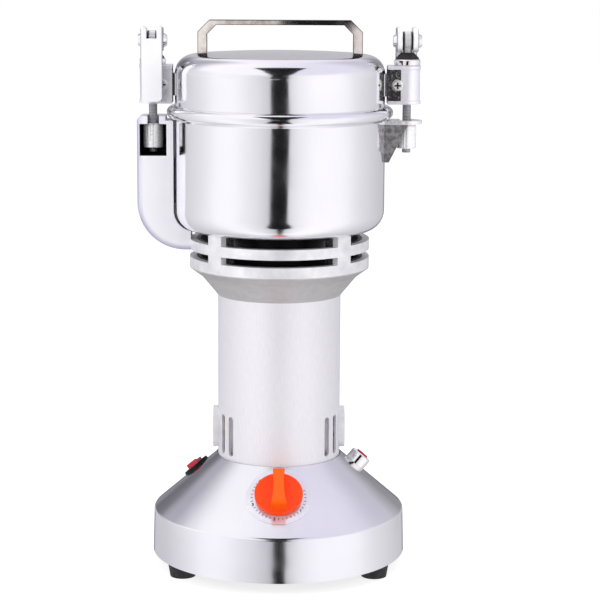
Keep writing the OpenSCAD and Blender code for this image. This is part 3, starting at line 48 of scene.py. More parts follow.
# The cone of the base, which the dial lies on
CONE_SLOPE = math.radians(41)
RIM_R = 88.2 * MM
RIM_Z = 40.4 * MM
DIAL_R = 62 * MM
DIAL_Z = RIM_Z + (RIM_R - DIAL_R) * math.tan(CONE_SLOPE)
DIAL_LEVEL = math.sin(CONE_SLOPE) * DIAL_R + math.cos(CONE_SLOPE) * DIAL_Z
DIAL_LIFT = 0.4 * MM
PRINT_LIFT = 0.06 * MM
PRINT_SUNK = 0.1 * MM

# Places on the machine that the finishes follow
LEVER_LOW, LEVER_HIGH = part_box("right_lever")
CLAMP_X = (LEVER_LOW.x + LEVER_HIGH.x) / 2
LEVER_HALF_WIDTH = (LEVER_HIGH.x - LEVER_LOW.x) / 2
EYE_BOTTOM_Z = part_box("right_eye_bolt")[1].z - 23 * MM
EYE_CHEEK = 1.5 * MM, 2.6 * MM
SCREWS_LOW, SCREWS_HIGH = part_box("bracket_screws")
SCREW_HEAD_R = (SCREWS_HIGH.z - SCREWS_LOW.z) / 2
BRACKET_SCREW_X = SCREWS_HIGH.x - SCREW_HEAD_R
BRACKET_SCREW_Z = SCREWS_HIGH.z - SCREW_HEAD_R
CROSS_REACH = 2.25 * MM
CROSS_HALF_WIDTH = 0.6 * MM
LID_CROWN_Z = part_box("lid_shell")[1].z - 16 * MM
LID_CROWN_FADE = 44 * MM, 66 * MM
NECK_LOW, NECK_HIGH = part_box("vent_neck")
NECK_CONE_TOP_Z = NECK_LOW.z + 27.9 * MM
NECK_INSIDE_R = NECK_HIGH.x - 4.8 * MM
ARM_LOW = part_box("latch_arm")[0]
ARM_BEND_R = 33 * MM
ARM_BEND_X = ARM_LOW.x + ARM_BEND_R
ARM_BEND_Z = ARM_LOW.z + ARM_BEND_R
ARM_FRONT_Y = ARM_LOW.y + 3 * MM

# The handle's strip, seen from the front. Its chamfered corners are slanted lines, given by X plus Z.
HANDLE_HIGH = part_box("lid_handle")[1]
HANDLE_INNER_X = HANDLE_HIGH.x - 6.5 * MM
HANDLE_UNDER_Z = HANDLE_HIGH.z - 3.4 * MM
HANDLE_OUTER_SLANT = HANDLE_HIGH.x + HANDLE_HIGH.z - 8 * MM
HANDLE_INNER_SLANT = HANDLE_INNER_X + HANDLE_UNDER_Z - 6.3 * MM

# Lowest and highest corners, in millimetres, of places with a finish of their own
RIGHT_CHEEK = (71.5, -20, 328.2), (82.6, 20, 349.4)
CATCH_GUSSET = (70, -20, 280), (100, 20, 311.9)
NUT_POCKET = (-96.3, -11.3, 290.0), (-77.3, 9.8, 312.2)

# The dial's printing. Turns are in degrees from the top, clockwise.
TICK_R = 18.3 * MM
TICK_LENGTH = 1.5 * MM
PRINT_WIDTH = 0.5 * MM
TICKS = 29
FIRST_TICK = 72
TICK_STEP = 9
TICKS_PER_NUMBER = 7
NUMBER_R = 18.5 * MM
DIGIT_SCALE = 0.46 * MM
ARC_R = 18.5 * MM, 19.1 * MM
ARC_TURN = 22, 54
OUTLINE_R = 21.2 * MM, 21.75 * MM

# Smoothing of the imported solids
JOIN_DISTANCE = 0.001 * MM
SHARP_ANGLE = math.radians(28)
BEVEL_ANGLE = math.radians(35)

# The studio's lamps and cards
LAMP_AIM = (0, 0, 0.2)
GAP_Y = -1.6
CEILING_Z = 2.2
FLOOR_Z = 0.5 * MM
PAPER_Y = -0.5

# The camera, fitted to the photograph. The photograph's side and the focal length are in pixels.
PHOTO_SIDE = 600
FOCAL_LENGTH = 2016
SENSOR = 36
CAMERA_PLACE = (0, -1.390, 0.43305)
PITCH, YAW, ROLL = math.radians(9.99), math.radians(0.597), math.radians(0.3)


# Finishes

class Nodes:
    """Adds nodes to a tree one line at a time. A value is a constant or another node's output."""

    def __init__(self, tree):
        self.tree = tree

    def node(self, kind, **settings):
        made = self.tree.nodes.new(kind)
        for key, value in settings.items():
            setattr(made, key, value)
        return made

    def link(self, start, end):
        self.tree.links.new(start, end)

    def put(self, socket, value):
        """Links or sets one input."""
        if isinstance(value, bpy.types.NodeSocket):
            self.link(value, socket)
        else:
            socket.default_value = value

    def math(self, operation, first, second=0.0):
        made = self.node("ShaderNodeMath", operation=operation)
        self.put(made.inputs[0], first)
        self.put(made.inputs[1], second)
        return made.outputs["Value"]

    def plus(self, first, second):
        return self.math("ADD", first, second)

    def minus(self, first, second):
        return self.math("SUBTRACT", first, second)

    def times(self, first, second):
        return self.math("MULTIPLY", first, second)

    def between(self, value, start, end):
        """Eases from 0 at the start to 1 at the end."""
        made = self.node("ShaderNodeMapRange", interpolation_type="SMOOTHSTEP")
        made.inputs["From Min"].default_value = start
        made.inputs["From Max"].default_value = end
        self.link(value, made.inputs["Value"])
        return made.outputs["Result"]

    def mixed(self, share, first, second):
        """Mix of two colours, each a tuple or another node's output."""
        made = self.node("ShaderNodeMix", data_type="RGBA")
        self.link(share, made.inputs["Factor"])
        for socket, value in ((made.inputs["A"], first), (made.inputs["B"], second)):
            self.put(socket, (*value, 1) if isinstance(value, tuple) else value)
        return made.outputs["Result"]


# Cosine of the angle within which a face counts as part of the round wall
NEARLY_OUTWARD = 0.985


class Recipe(Nodes):
    """A material whose patterns lie in Object coordinates."""

    def __init__(self, name, color, metallic=0.0, roughness=0.5):
        self.material = bpy.data.materials.new(name)
        self.material.use_nodes = True
        super().__init__(self.material.node_tree)
        self.tree.nodes.clear()
        self.shader = self.node("ShaderNodeBsdfPrincipled")
        self.shader.inputs["Base Color"].default_value = (*color, 1)
        self.shader.inputs["Metallic"].default_value = metallic
        self.shader.inputs["Roughness"].default_value = roughness
        self.material.diffuse_color = (*color, 1)
        output = self.node("ShaderNodeOutputMaterial")
        self.link(self.shader.outputs["BSDF"], output.inputs["Surface"])
        self.place = self.node("ShaderNodeTexCoord").outputs["Object"]
        self.normal = None

    def stretched(self, scale):
        """Object coordinates, scaled to draw a pattern out along one direction."""
        mapping = self.node("ShaderNodeMapping")
        mapping.inputs["Scale"].default_value = scale
        self.link(self.place, mapping.inputs["Vector"])
        return mapping.outputs["Vector"]

    def axes(self):
        split = self.node("ShaderNodeSeparateXYZ")
        self.link(self.place, split.inputs["Vector"])
        return [split.outputs[axis] for axis in "XYZ"]

    def length(self, x, y):
        return self.math("SQRT", self.plus(self.times(x, x), self.times(y, y)))

    def reach(self):
        """Distance from the machine's axis."""
        x, y, _ = self.axes()
        return self.length(x, y)

    def off(self, value, middle):
        """Distance of a value from its middle."""
        return self.math("ABSOLUTE", self.minus(value, middle))

    def beside(self, middle):
        """Distance, across the machine, from a middle that both of its sides have."""
        return self.off(self.math("ABSOLUTE", self.axes()[0]), middle)

    def other(self, share):
        """1 where the share is 0, and 0 where it is 1."""
        return self.minus(1.0, share)

    def spun(self, along, around):
        """Coordinates that follow the surface round the machine's axis."""
        x, y, z = self.axes()
        joined = self.node("ShaderNodeCombineXYZ")
        self.link(self.times(self.math("ARCTAN2", y, x), around), joined.inputs["X"])
        self.link(self.times(self.length(x, y), along), joined.inputs["Y"])
        self.link(self.times(z, along), joined.inputs["Z"])
        return joined.outputs["Vector"]

    def noise(self, scale, detail=3.0, vector=None):
        made = self.node("ShaderNodeTexNoise")
        made.inputs["Scale"].default_value = scale
        made.inputs["Detail"].default_value = detail
        self.link(vector or self.place, made.inputs["Vector"])
        return made.outputs["Fac"]

    def bands(self, direction, scale, distortion):
        made = self.node("ShaderNodeTexWave", wave_type="BANDS", bands_direction=direction)
        made.inputs["Scale"].default_value = scale
        made.inputs["Distortion"].default_value = distortion
        self.link(self.place, made.inputs["Vector"])
        return made.outputs["Fac"]

    def spread(self, value, low, high, start=0.3, end=0.7):
        """Runs evenly from low to high while the value runs from start to end."""
        made = self.node("ShaderNodeMapRange")
        made.inputs["From Min"].default_value = start
        made.inputs["From Max"].default_value = end
        made.inputs["To Min"].default_value = low
        made.inputs["To Max"].default_value = high
        self.link(value, made.inputs["Value"])
        return made.outputs["Result"]

    def tone(self, value, dark, light, start=0.3, end=0.7):
        """Colour that shifts between two tones with a pattern."""
        mixed = self.mixed(self.spread(value, 0, 1, start, end), dark, light)
        self.link(mixed, self.shader.inputs["Base Color"])

    def within(self, low, high):
        """1 inside a box of the machine, 0 outside it. Corners in millimetres."""
        share = 1.0
        for value, start, end in zip(self.axes(), low, high):
            share = self.times(share, self.math("GREATER_THAN", value, start * MM))
            share = self.times(share, self.math("LESS_THAN", value, end * MM))
        return share

    def patch(self, share, color):
        """Another colour where the share is 1."""
        socket = self.shader.inputs["Base Color"]
        self.link(self.mixed(share, socket.links[0].from_socket, color), socket)

    def dulled(self, share, metallic, roughness):
        """Another metallic look and gloss where the share is 1."""
        for name, value in (("Metallic", metallic), ("Roughness", roughness)):
            socket = self.shader.inputs[name]
            base = socket.links[0].from_socket if socket.is_linked else socket.default_value
            step = self.times(self.minus(value, base), share)
            self.link(self.plus(base, step), socket)

    def gloss(self, value, low, high, start=0.3, end=0.7):
        self.link(self.spread(value, low, high, start, end), self.shader.inputs["Roughness"])

    def rounded(self):
        """Normal of a true cylinder round the machine's axis, for faces that the mesh leaves flat."""
        x, y, _ = self.axes()
        flat = self.node("ShaderNodeCombineXYZ")
        self.link(x, flat.inputs["X"])
        self.link(y, flat.inputs["Y"])
        turned = self.node("ShaderNodeVectorTransform", vector_type="NORMAL",
                           convert_from="OBJECT", convert_to="WORLD")
        self.link(flat.outputs["Vector"], turned.inputs["Vector"])
        unit = self.node("ShaderNodeVectorMath", operation="NORMALIZE")
        self.link(turned.outputs["Vector"], unit.inputs[0])
        real = self.node("ShaderNodeNewGeometry").outputs["Normal"]
        facing = self.node("ShaderNodeVectorMath", operation="DOT_PRODUCT")
        self.link(unit.outputs["Vector"], facing.inputs[0])
        self.link(real, facing.inputs[1])
        both = self.node("ShaderNodeMix", data_type="VECTOR")
        self.link(self.math("GREATER_THAN", facing.outputs["Value"], NEARLY_OUTWARD), both.inputs["Factor"])
        vectors = [socket for socket in both.inputs if socket.type == "VECTOR" and socket.name in ("A", "B")]
        self.link(real, vectors[0])
        self.link(unit.outputs["Vector"], vectors[1])
        self.normal = both.outputs[1]

    def relief(self, value, strength, depth):
        made = self.node("ShaderNodeBump")
        if self.normal is not None:
            self.link(self.normal, made.inputs["Normal"])
        made.inputs["Strength"].default_value = strength
        made.inputs["Distance"].default_value = depth
        self.link(value, made.inputs["Height"])
        self.link(made.outputs["Normal"], self.shader.inputs["Normal"])


def mirror_polished_steel():
    steel = Recipe("mirror polished steel", (0.90, 0.90, 0.92), 1, 0.13)
    steel.tone(steel.noise(14, 4), (0.86, 0.86, 0.89), (0.93, 0.93, 0.95))
    steel.gloss(steel.noise(60, 5), 0.10, 0.16)
    steel.relief(steel.noise(1, 4, steel.spun(900, 3)), 0.035, 0.0001)
    # The lid's crown is satin rather than mirror bright
    top = steel.times(steel.math("GREATER_THAN", steel.axes()[2], LID_CROWN_Z),
                      steel.other(steel.between(steel.reach(), *LID_CROWN_FADE)))
    steel.dulled(top, 1, 0.25)
    return steel.material


def polished_cone_steel():
    steel = Recipe("polished base steel", (0.86, 0.86, 0.89), 1, 0.14)
    steel.tone(steel.noise(18, 4), (0.82, 0.82, 0.86), (0.90, 0.90, 0.93))
    steel.gloss(steel.noise(70, 5), 0.12, 0.19)
    steel.relief(steel.noise(1, 4, steel.spun(1100, 3)), 0.04, 0.0001)
    return steel.material


def satin_steel():
    steel = Recipe("satin steel", (0.74, 0.74, 0.76), 1, 0.24)
    grain = steel.noise(260, 3, steel.stretched((1, 1, 0.06)))
    steel.tone(steel.noise(40, 4), (0.66, 0.66, 0.69), (0.82, 0.82, 0.84))
    steel.gloss(grain, 0.16, 0.32)
    steel.relief(grain, 0.12, 0.00006)
    return steel.material


def blasted_steel():
    """Investment-cast levers, blasted to a pale satin, with painted shade along their side edges."""
    steel = Recipe("blasted steel", (0.95, 0.95, 0.96), 0.25, 0.42)
    steel.tone(steel.noise(90, 4), (0.93, 0.93, 0.95), (0.98, 0.98, 0.99))
    steel.gloss(steel.noise(600, 3), 0.36, 0.48)
    steel.relief(steel.noise(1500, 3), 0.12, 0.00008)
    # Painted shade: a dark grey line along both side edges of each lever.
    from_edge = steel.minus(LEVER_HALF_WIDTH, steel.beside(CLAMP_X))
    steel.patch(steel.other(steel.between(from_edge, 0.1 * MM, 1.0 * MM)), (0.42, 0.42, 0.46))
    return steel.material


def bracket_steel():
    """Pale folded strip. The right bracket's cheek is painted dark and speckled between its edges: a painted
    reflection.
    """
    steel = Recipe("bracket steel", (0.88, 0.87, 0.91), 0.5, 0.34)
    steel.tone(steel.noise(60, 4), (0.80, 0.79, 0.84), (0.93, 0.92, 0.96))
    steel.gloss(steel.noise(260, 3), 0.28, 0.40)
    steel.relief(steel.noise(900, 3), 0.15, 0.00008)
    # Painted reflection: the right cheek is painted near black with lighter flecks, and made less metallic.
    cheek = steel.within(*RIGHT_CHEEK)
    painted_reflection_specks = steel.mixed(steel.between(steel.noise(950, 3), 0.50, 0.68),
                         (0.020, 0.019, 0.021), (0.24, 0.22, 0.23))
    steel.patch(cheek, painted_reflection_specks)
    steel.dulled(cheek, 0.2, 0.4)
    return steel.material


def catch_steel():
    """Folded catch. Its gusset is painted darker than the plate that the nut pulls on, a painted reflection.
    """
    steel = Recipe("catch steel", (0.86, 0.86, 0.88), 0.6, 0.3)
    steel.tone(steel.noise(60, 4), (0.78, 0.78, 0.81), (0.92, 0.92, 0.94))
    steel.gloss(steel.noise(260, 3), 0.24, 0.38)
    steel.relief(steel.noise(900, 3), 0.15, 0.00008)
    # Painted reflection: the gusset is painted dark grey, flecked.
    gusset = steel.within(*CATCH_GUSSET)
    painted_reflection_specks = steel.mixed(steel.between(steel.noise(420, 3), 0.36, 0.68),
                         (0.22, 0.21, 0.22), (0.44, 0.42, 0.43))
    steel.patch(gusset, painted_reflection_specks)
    return steel.material


def threaded_rod():
    """Dull thread below a bright eye, with painted shade on its sides where they lie under the lever's ears.
    """
    rod = Recipe("threaded rod", (0.42, 0.42, 0.43), 0.8, 0.36)
    turns = rod.bands("Z", 315, 0)
    rod.tone(turns, (0.24, 0.24, 0.25), (0.56, 0.56, 0.57), 0.1, 0.9)
    rod.gloss(rod.noise(700, 3), 0.28, 0.42)
    rod.relief(turns, 0.7, 0.0003)
    eye = rod.math("GREATER_THAN", rod.axes()[2], EYE_BOTTOM_Z)
    rod.patch(eye, (0.90, 0.90, 0.91))
    # Painted shade: the eye's sides under the lever's ears are painted near black.
    cheeks = rod.times(eye, rod.between(rod.beside(CLAMP_X), *EYE_CHEEK))
    rod.patch(cheeks, (0.03, 0.03, 0.03))
    return rod.material


def nickel():
    """Bright heads whose cross recess is painted dark, painted shade in the recess."""
    head = Recipe("nickel screws", (0.92, 0.90, 0.88), 0.5, 0.28)
    head.tone(head.noise(400, 3), (0.84, 0.82, 0.80), (0.96, 0.94, 0.92))
    head.gloss(head.noise(700, 3), 0.22, 0.34)
    head.relief(head.noise(900, 2), 0.08, 0.00006)
    across = head.beside(BRACKET_SCREW_X)
    up = head.off(head.axes()[2], BRACKET_SCREW_Z)
    in_reach = head.math("LESS_THAN", head.math("MAXIMUM", across, up), CROSS_REACH)
    on_arm = head.math("LESS_THAN", head.math("MINIMUM", across, up), CROSS_HALF_WIDTH)
    # Painted shade: the cross recess is painted near black and made rough.
    cross = head.times(in_reach, on_arm)
    head.patch(cross, (0.03, 0.025, 0.025))
    head.dulled(cross, 0, 0.6)
    return head.material


def drawn_nut():
    """Bright barrel nut with a few dark draw marks along it."""
    nut = Recipe("drawn nut", (0.94, 0.94, 0.95), 0.35, 0.3)
    marks = nut.noise(1, 2, nut.stretched((700, 700, 12)))
    nut.tone(marks, (0.30, 0.30, 0.31), (0.96, 0.96, 0.97), 0.33, 0.44)
    nut.gloss(nut.noise(600, 3), 0.24, 0.36)
    nut.relief(nut.noise(1200, 2), 0.08, 0.00006)
    return nut.material


def turned_steel():
    steel = Recipe("turned steel", (0.68, 0.68, 0.70), 1, 0.24)
    rings = steel.noise(2600, 2, steel.stretched((0.02, 0.02, 1)))
    steel.tone(rings, (0.58, 0.58, 0.60), (0.78, 0.78, 0.80))
    steel.gloss(rings, 0.18, 0.30)
    steel.relief(rings, 0.1, 0.00005)
    return steel.material


def chrome():
    plate = Recipe("bright chrome", (0.90, 0.89, 0.88), 1, 0.05)
    plate.tone(plate.noise(50, 3), (0.86, 0.85, 0.84), (0.94, 0.93, 0.92))
    plate.gloss(plate.noise(120, 4), 0.03, 0.09)
    plate.relief(plate.noise(420, 2), 0.02, 0.00008)
    return plate.material


def zinc():
    plate = Recipe("zinc plated screws", (0.72, 0.72, 0.74), 1, 0.26)
    plate.tone(plate.noise(500, 3), (0.60, 0.60, 0.63), (0.82, 0.82, 0.83))
    plate.gloss(plate.noise(700, 3), 0.18, 0.36)
    plate.relief(plate.noise(900, 2), 0.08, 0.00006)
    return plate.material


def satin_tube():
    tube = Recipe("satin anodised tube", (0.86, 0.86, 0.88), 0.4, 0.5)
    grain = tube.noise(1, 4, tube.spun(160, 140))
    tube.tone(grain, (0.76, 0.75, 0.78), (0.84, 0.83, 0.86))
    tube.gloss(tube.noise(900, 3), 0.44, 0.56)
    tube.rounded()
    tube.relief(tube.noise(1600, 2), 0.10, 0.00008)
    return tube.material


def cast_aluminium():
    cast = Recipe("cast aluminium", (0.88, 0.88, 0.89), 0.5, 0.5)
    turning = cast.noise(1, 3, cast.spun(1500, 2))
    cast.tone(cast.noise(120, 4), (0.82, 0.82, 0.84), (0.92, 0.92, 0.93))
    cast.gloss(turning, 0.40, 0.54)
    cast.relief(cast.noise(1300, 3), 0.16, 0.0001)
    return cast.material


def neck_casting():
    """Cast vent neck, turned bright outside, with painted shade: a darker grey on its lower cone and near
    black on its inner faces.
    """
    cast = Recipe("neck casting", (0.90, 0.90, 0.91), 0.55, 0.46)
    turning = cast.noise(1, 3, cast.spun(1500, 2))
    cast.tone(cast.noise(120, 4), (0.74, 0.74, 0.76), (0.90, 0.90, 0.91))
    cast.gloss(turning, 0.38, 0.52)
    cast.relief(cast.noise(1300, 3), 0.16, 0.0001)
    # Painted shade: the lower cone is painted a darker grey.
    cone = cast.math("LESS_THAN", cast.axes()[2], NECK_CONE_TOP_Z)
    cast.patch(cone, cast.mixed(cast.noise(200, 4), (0.46, 0.45, 0.45), (0.60, 0.59, 0.59)))
    # Painted shade: the inner faces above the cone are painted near black.
    inside = cast.times(cast.math("LESS_THAN", cast.reach(), NECK_INSIDE_R), cast.other(cone))
    cast.patch(inside, cast.mixed(cast.between(cast.noise(600, 4), 0.4, 0.7),
                                  (0.03, 0.03, 0.032), (0.14, 0.14, 0.145)))
    return cast.material


def latch_casting():
    """Polished arm, near white, with painted lavender shade round the front of its bend and painted black
    shade in its nut pocket.
    """
    cast = Recipe("latch casting", (0.95, 0.94, 0.99), 0.2, 0.34)
    cast.tone(cast.noise(30, 4), (0.91, 0.91, 0.97), (0.97, 0.96, 0.99))
    cast.gloss(cast.noise(160, 4), 0.28, 0.40)
    cast.relief(cast.noise(260, 3), 0.06, 0.0001)
    x, y, z = cast.axes()
    # Painted shade: a lavender band on the front face along the curved edge of the bend.
    low = cast.math("MAXIMUM", cast.minus(ARM_BEND_Z, z), 0.0)
    away = cast.math("MINIMUM", cast.minus(x, ARM_BEND_X), 0.0)
    from_edge = cast.minus(ARM_BEND_R, cast.length(low, away))
    painted_shade_edge = cast.other(cast.between(from_edge, 0.0, 4.5 * MM))
    cast.patch(cast.times(painted_shade_edge, cast.math("LESS_THAN", y, ARM_FRONT_Y)), (0.46, 0.45, 0.60))
    # Painted shade: the nut pocket is painted near black and made rough.
    pocket = cast.within(*NUT_POCKET)
    cast.patch(pocket, cast.mixed(cast.noise(500, 3), (0.006, 0.006, 0.006), (0.012, 0.012, 0.012)))
    cast.dulled(pocket, 0, 0.7)
    return cast.material


def handle_chrome():
    """Bright chrome with a painted brown reflection along the edges of the bent strip."""
    plate = Recipe("handle chrome", (0.90, 0.88, 0.86), 1, 0.06)
    plate.tone(plate.noise(50, 3), (0.86, 0.84, 0.82), (0.94, 0.92, 0.90))
    plate.gloss(plate.noise(120, 4), 0.05, 0.11)
    plate.relief(plate.noise(420, 2), 0.02, 0.00008)
    x, _, z = plate.axes()
    side = plate.math("ABSOLUTE", x)
    slant = plate.plus(side, z)
    outer = plate.math("MINIMUM", plate.minus(HANDLE_HIGH.x, side), plate.minus(HANDLE_HIGH.z, z))
    outer_corner = plate.times(plate.minus(HANDLE_OUTER_SLANT, slant), math.sqrt(0.5))
    inner = plate.math("MAXIMUM", plate.minus(side, HANDLE_INNER_X), plate.minus(z, HANDLE_UNDER_Z))
    inner_corner = plate.times(plate.minus(slant, HANDLE_INNER_SLANT), math.sqrt(0.5))
    from_edge = plate.math("MINIMUM", plate.math("MINIMUM", outer, outer_corner),
                           plate.math("MAXIMUM", inner, inner_corner))
    # Painted reflection: the strip's edges and chamfered corners are painted dark brown.
    rim = plate.other(plate.between(from_edge, 0.15 * MM, 0.7 * MM))
    plate.patch(rim, (0.17, 0.12, 0.10))
    return plate.material


def rubber():
    black = Recipe("black rubber", (0.010, 0.010, 0.011), 0, 0.65)
    black.tone(black.noise(300, 4), (0.006, 0.006, 0.007), (0.016, 0.016, 0.017))
    black.gloss(black.noise(500, 3), 0.5, 0.7)
    black.relief(black.noise(1800, 3), 0.25, 0.00012)
    return black.material


def silicone():
    milky = Recipe("milky silicone", (0.84, 0.84, 0.81), 0, 0.45)
    milky.tone(milky.noise(80, 3), (0.80, 0.80, 0.77), (0.88, 0.88, 0.85))
    milky.gloss(milky.noise(300, 3), 0.38, 0.52)
    milky.relief(milky.noise(900, 2), 0.1, 0.0001)
    return milky.material


def plastic(name, color, low, high, depth=0.00005, sheen=0.5):
    """Moulded plastic with a faint grain in its colour and in its roughness, from low to high."""
    moulded = Recipe(name, color, 0, (low + high) / 2)
    dark = tuple(0.9 * c for c in color)
    light = tuple(min(1, 1.06 * c) for c in color)
    moulded.tone(moulded.noise(90, 4), dark, light)
    moulded.gloss(moulded.noise(320, 3), low, high)
    moulded.relief(moulded.noise(1400, 2), 0.06, depth)
    moulded.shader.inputs["Specular IOR Level"].default_value = sheen
    return moulded.material


def orange_plastic():
    """Orange with a painted highlight: redder on the knob's disc, lighter towards the top of its grip."""
    knob = Recipe("orange knob", (1.0, 0.078, 0.0), 0, 0.2)
    _, y, z = knob.axes()
    height = knob.minus(knob.times(z, math.cos(CONE_SLOPE)), knob.times(y, math.sin(CONE_SLOPE)))
    # Painted highlight: the colour lightens with height above the cone.
    knob.tone(height, (1.0, 0.062, 0.0), (1.0, 0.112, 0.002), DIAL_LEVEL + 5 * MM, DIAL_LEVEL + 14 * MM)
    knob.gloss(knob.noise(320, 3), 0.16, 0.26)
    knob.relief(knob.noise(1400, 2), 0.06, 0.00005)
    knob.shader.inputs["Specular IOR Level"].default_value = 0.22
    return knob.material


def dial_film():
    """Clear film on the steel, so it shines nearly as the steel round it does."""
    film = Recipe("dial film", (0.78, 0.78, 0.85), 0.55, 0.2)
    film.tone(film.noise(60, 3), (0.74, 0.74, 0.82), (0.82, 0.82, 0.89))
    film.gloss(film.noise(200, 3), 0.16, 0.24)
    film.relief(film.noise(900, 2), 0.03, 0.00005)
    return film.material


def copper():
    wound = Recipe("enamelled copper", (0.60, 0.24, 0.10), 1, 0.3)
    wires = wound.bands("DIAGONAL", 700, 2)
    wound.tone(wires, (0.38, 0.14, 0.05), (0.78, 0.36, 0.16), 0.1, 0.9)
    wound.gloss(wires, 0.22, 0.4, 0.1, 0.9)
    wound.relief(wires, 0.6, 0.0003)
    return wound.material


def core_sheets():
    sheets = Recipe("stacked core sheets", (0.27, 0.27, 0.29), 1, 0.45)
    layers = sheets.bands("Z", 320, 0.2)
    sheets.tone(layers, (0.18, 0.18, 0.20), (0.36, 0.36, 0.38), 0.1, 0.9)
    sheets.gloss(sheets.noise(200, 3), 0.38, 0.55)
    sheets.relief(layers, 0.5, 0.0002)
    return sheets.material


def carbon():
    block = Recipe("pressed carbon", (0.05, 0.05, 0.05), 0, 0.55)
    block.tone(block.noise(700, 5), (0.03, 0.03, 0.03), (0.08, 0.08, 0.085))
    block.gloss(block.noise(900, 4), 0.4, 0.65)
    block.relief(block.noise(2500, 3), 0.2, 0.0001)
    return block.material


def brass():
    turned = Recipe("turned brass", (0.70, 0.48, 0.20), 1, 0.28)
    turned.tone(turned.noise(120, 4), (0.60, 0.40, 0.16), (0.80, 0.58, 0.27))
    turned.gloss(turned.noise(400, 3), 0.2, 0.36)
    turned.relief(turned.noise(1500, 2), 0.08, 0.00006)
    return turned.material


# The finish of each material slot
FINISHES = {
    "polished_steel": mirror_polished_steel(),
    "satin_steel": satin_steel(),
    "machined_steel": turned_steel(),
    "chrome_trim": chrome(),
    "screw_steel": zinc(),
    "tube_aluminium": satin_tube(),
    "cast_aluminium": cast_aluminium(),
    "polished_cast": latch_casting(),
    "plate_metal": plastic("black powder coat", (0.02, 0.02, 0.021), 0.42, 0.6, 0.0002),
    "black_rubber": rubber(),
    "clear_silicone": silicone(),
    "dial_print": dial_film(),
    "orange_plastic": orange_plastic(),
    "red_plastic": plastic("red switch plastic", (0.56, 0.016, 0.045), 0.12, 0.22),
    "black_plastic": plastic("black moulding", (0.008, 0.008, 0.009), 0.28, 0.42, sheen=0.15),
    "cream_plastic": plastic("cream moulding", (0.80, 0.75, 0.60), 0.35, 0.5),
    "brass": brass(),
    "carbon": carbon(),
    "copper": copper(),
    "core_steel": core_sheets(),
}

# Solids that look different from the rest of their slot
LEVER, ROD, NUT = blasted_steel(), threaded_rod(), drawn_nut()
OWN_FINISH = {
    "base_shell": polished_cone_steel(), "vent_neck": neck_casting(), "lid_handle": handle_chrome(),
    "clamp_brackets": bracket_steel(), "bowl_catch": catch_steel(), "left_lever": LEVER, "right_lever": LEVER,
    "bracket_screws": nickel(), "left_eye_bolt": ROD, "right_eye_bolt": ROD,
    "left_clamp_nut": NUT, "right_clamp_nut": NUT,
}
PRINT_INK = plastic("dial ink", (0.02, 0.02, 0.025), 0.35, 0.5)
PRINT_LINE = plastic("dial outline", (0.06, 0.06, 0.08), 0.35, 0.5)


# Geometry Nodes

class Shaper(Nodes):
    """A Geometry Nodes tree. A value can also be the name of one of the tree's inputs."""

    SOCKETS = {"geometry": "NodeSocketGeometry", "length": "NodeSocketFloat", "count": "NodeSocketInt",
               "finish": "NodeSocketMaterial"}

    def __init__(self, name):
        super().__init__(bpy.data.node_groups.new(name, "GeometryNodeTree"))
        self.tree.interface.new_socket("Geometry", in_out="OUTPUT", socket_type="NodeSocketGeometry")
        self.given = self.tree.nodes.new("NodeGroupInput")
        self.made = self.tree.nodes.new("NodeGroupOutput")

    def wants(self, kind, *names, default=None):
        """Adds named inputs of one kind to the tree."""
        for name in names:
            socket = self.tree.interface.new_socket(name, in_out="INPUT", socket_type=self.SOCKETS[kind])
            if default is not None:
                socket.default_value = default

    def put(self, socket, value):
        super().put(socket, self.given.outputs[value] if isinstance(value, str) else value)

    def vector(self, x, y, z):
        made = self.node("ShaderNodeCombineXYZ")
        for socket, value in zip(made.inputs, (x, y, z)):
            self.put(socket, value)
        return made.outputs["Vector"]

    def moved(self, operation, first, second):
        """Vector arithmetic. With SCALE the second value is a number."""
        made = self.node("ShaderNodeVectorMath", operation=operation)
        self.put(made.inputs[0], first)
        self.put(made.inputs["Scale" if operation == "SCALE" else 1], second)
        return made.outputs["Vector"]

    def finish(self, geometry):
        """Ends a new piece's tree in plain geometry that has its finish."""
        real = self.node("GeometryNodeRealizeInstances")
        self.put(real.inputs["Geometry"], geometry)
        coat = self.node("GeometryNodeSetMaterial")
        self.put(coat.inputs["Geometry"], real.outputs["Geometry"])
        self.put(coat.inputs["Material"], "Finish")
        self.put(self.made.inputs["Geometry"], coat.outputs["Geometry"])
        return self.tree


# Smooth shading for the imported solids

def smoothing_tree():
    """Joins the solids' loose triangles and shades them smooth between sharp edges."""
    shape = Shaper("joined and smoothed")
    shape.wants("geometry", "Geometry")
    shape.wants("length", "Join distance", default=JOIN_DISTANCE)
    shape.wants("length", "Sharp angle", default=SHARP_ANGLE)
    joined = shape.node("GeometryNodeMergeByDistance")
    shape.put(joined.inputs["Geometry"], "Geometry")
    shape.put(joined.inputs["Distance"], "Join distance")
    faces = shape.node("GeometryNodeSetShadeSmooth")
    shape.put(faces.inputs["Geometry"], joined.outputs["Geometry"])
    gentle = shape.node("FunctionNodeCompare", operation="LESS_THAN")
    shape.put(gentle.inputs["A"], shape.node("GeometryNodeInputMeshEdgeAngle").outputs["Unsigned Angle"])
    shape.put(gentle.inputs["B"], "Sharp angle")
    edges = shape.node("GeometryNodeSetShadeSmooth", domain="EDGE")
    shape.put(edges.inputs["Geometry"], faces.outputs["Geometry"])
    shape.put(edges.inputs["Shade Smooth"], gentle.outputs["Result"])
    shape.put(shape.made.inputs["Geometry"], edges.outputs["Geometry"])
    return shape.tree


SMOOTHING = smoothing_tree()

# Width of the eased edges, in millimetres
BEVELLED = {
    "latch_arm": 0.5, "bowl_catch": 0.3, "clamp_brackets": 0.35, "left_lever": 0.4,
    "right_lever": 0.4, "lid_handle": 0.5, "timer_knob": 0.8, "vent_neck": 0.35,
    "switch_rocker": 0.3, "left_eye_bolt": 0.4, "right_eye_bolt": 0.4,
}


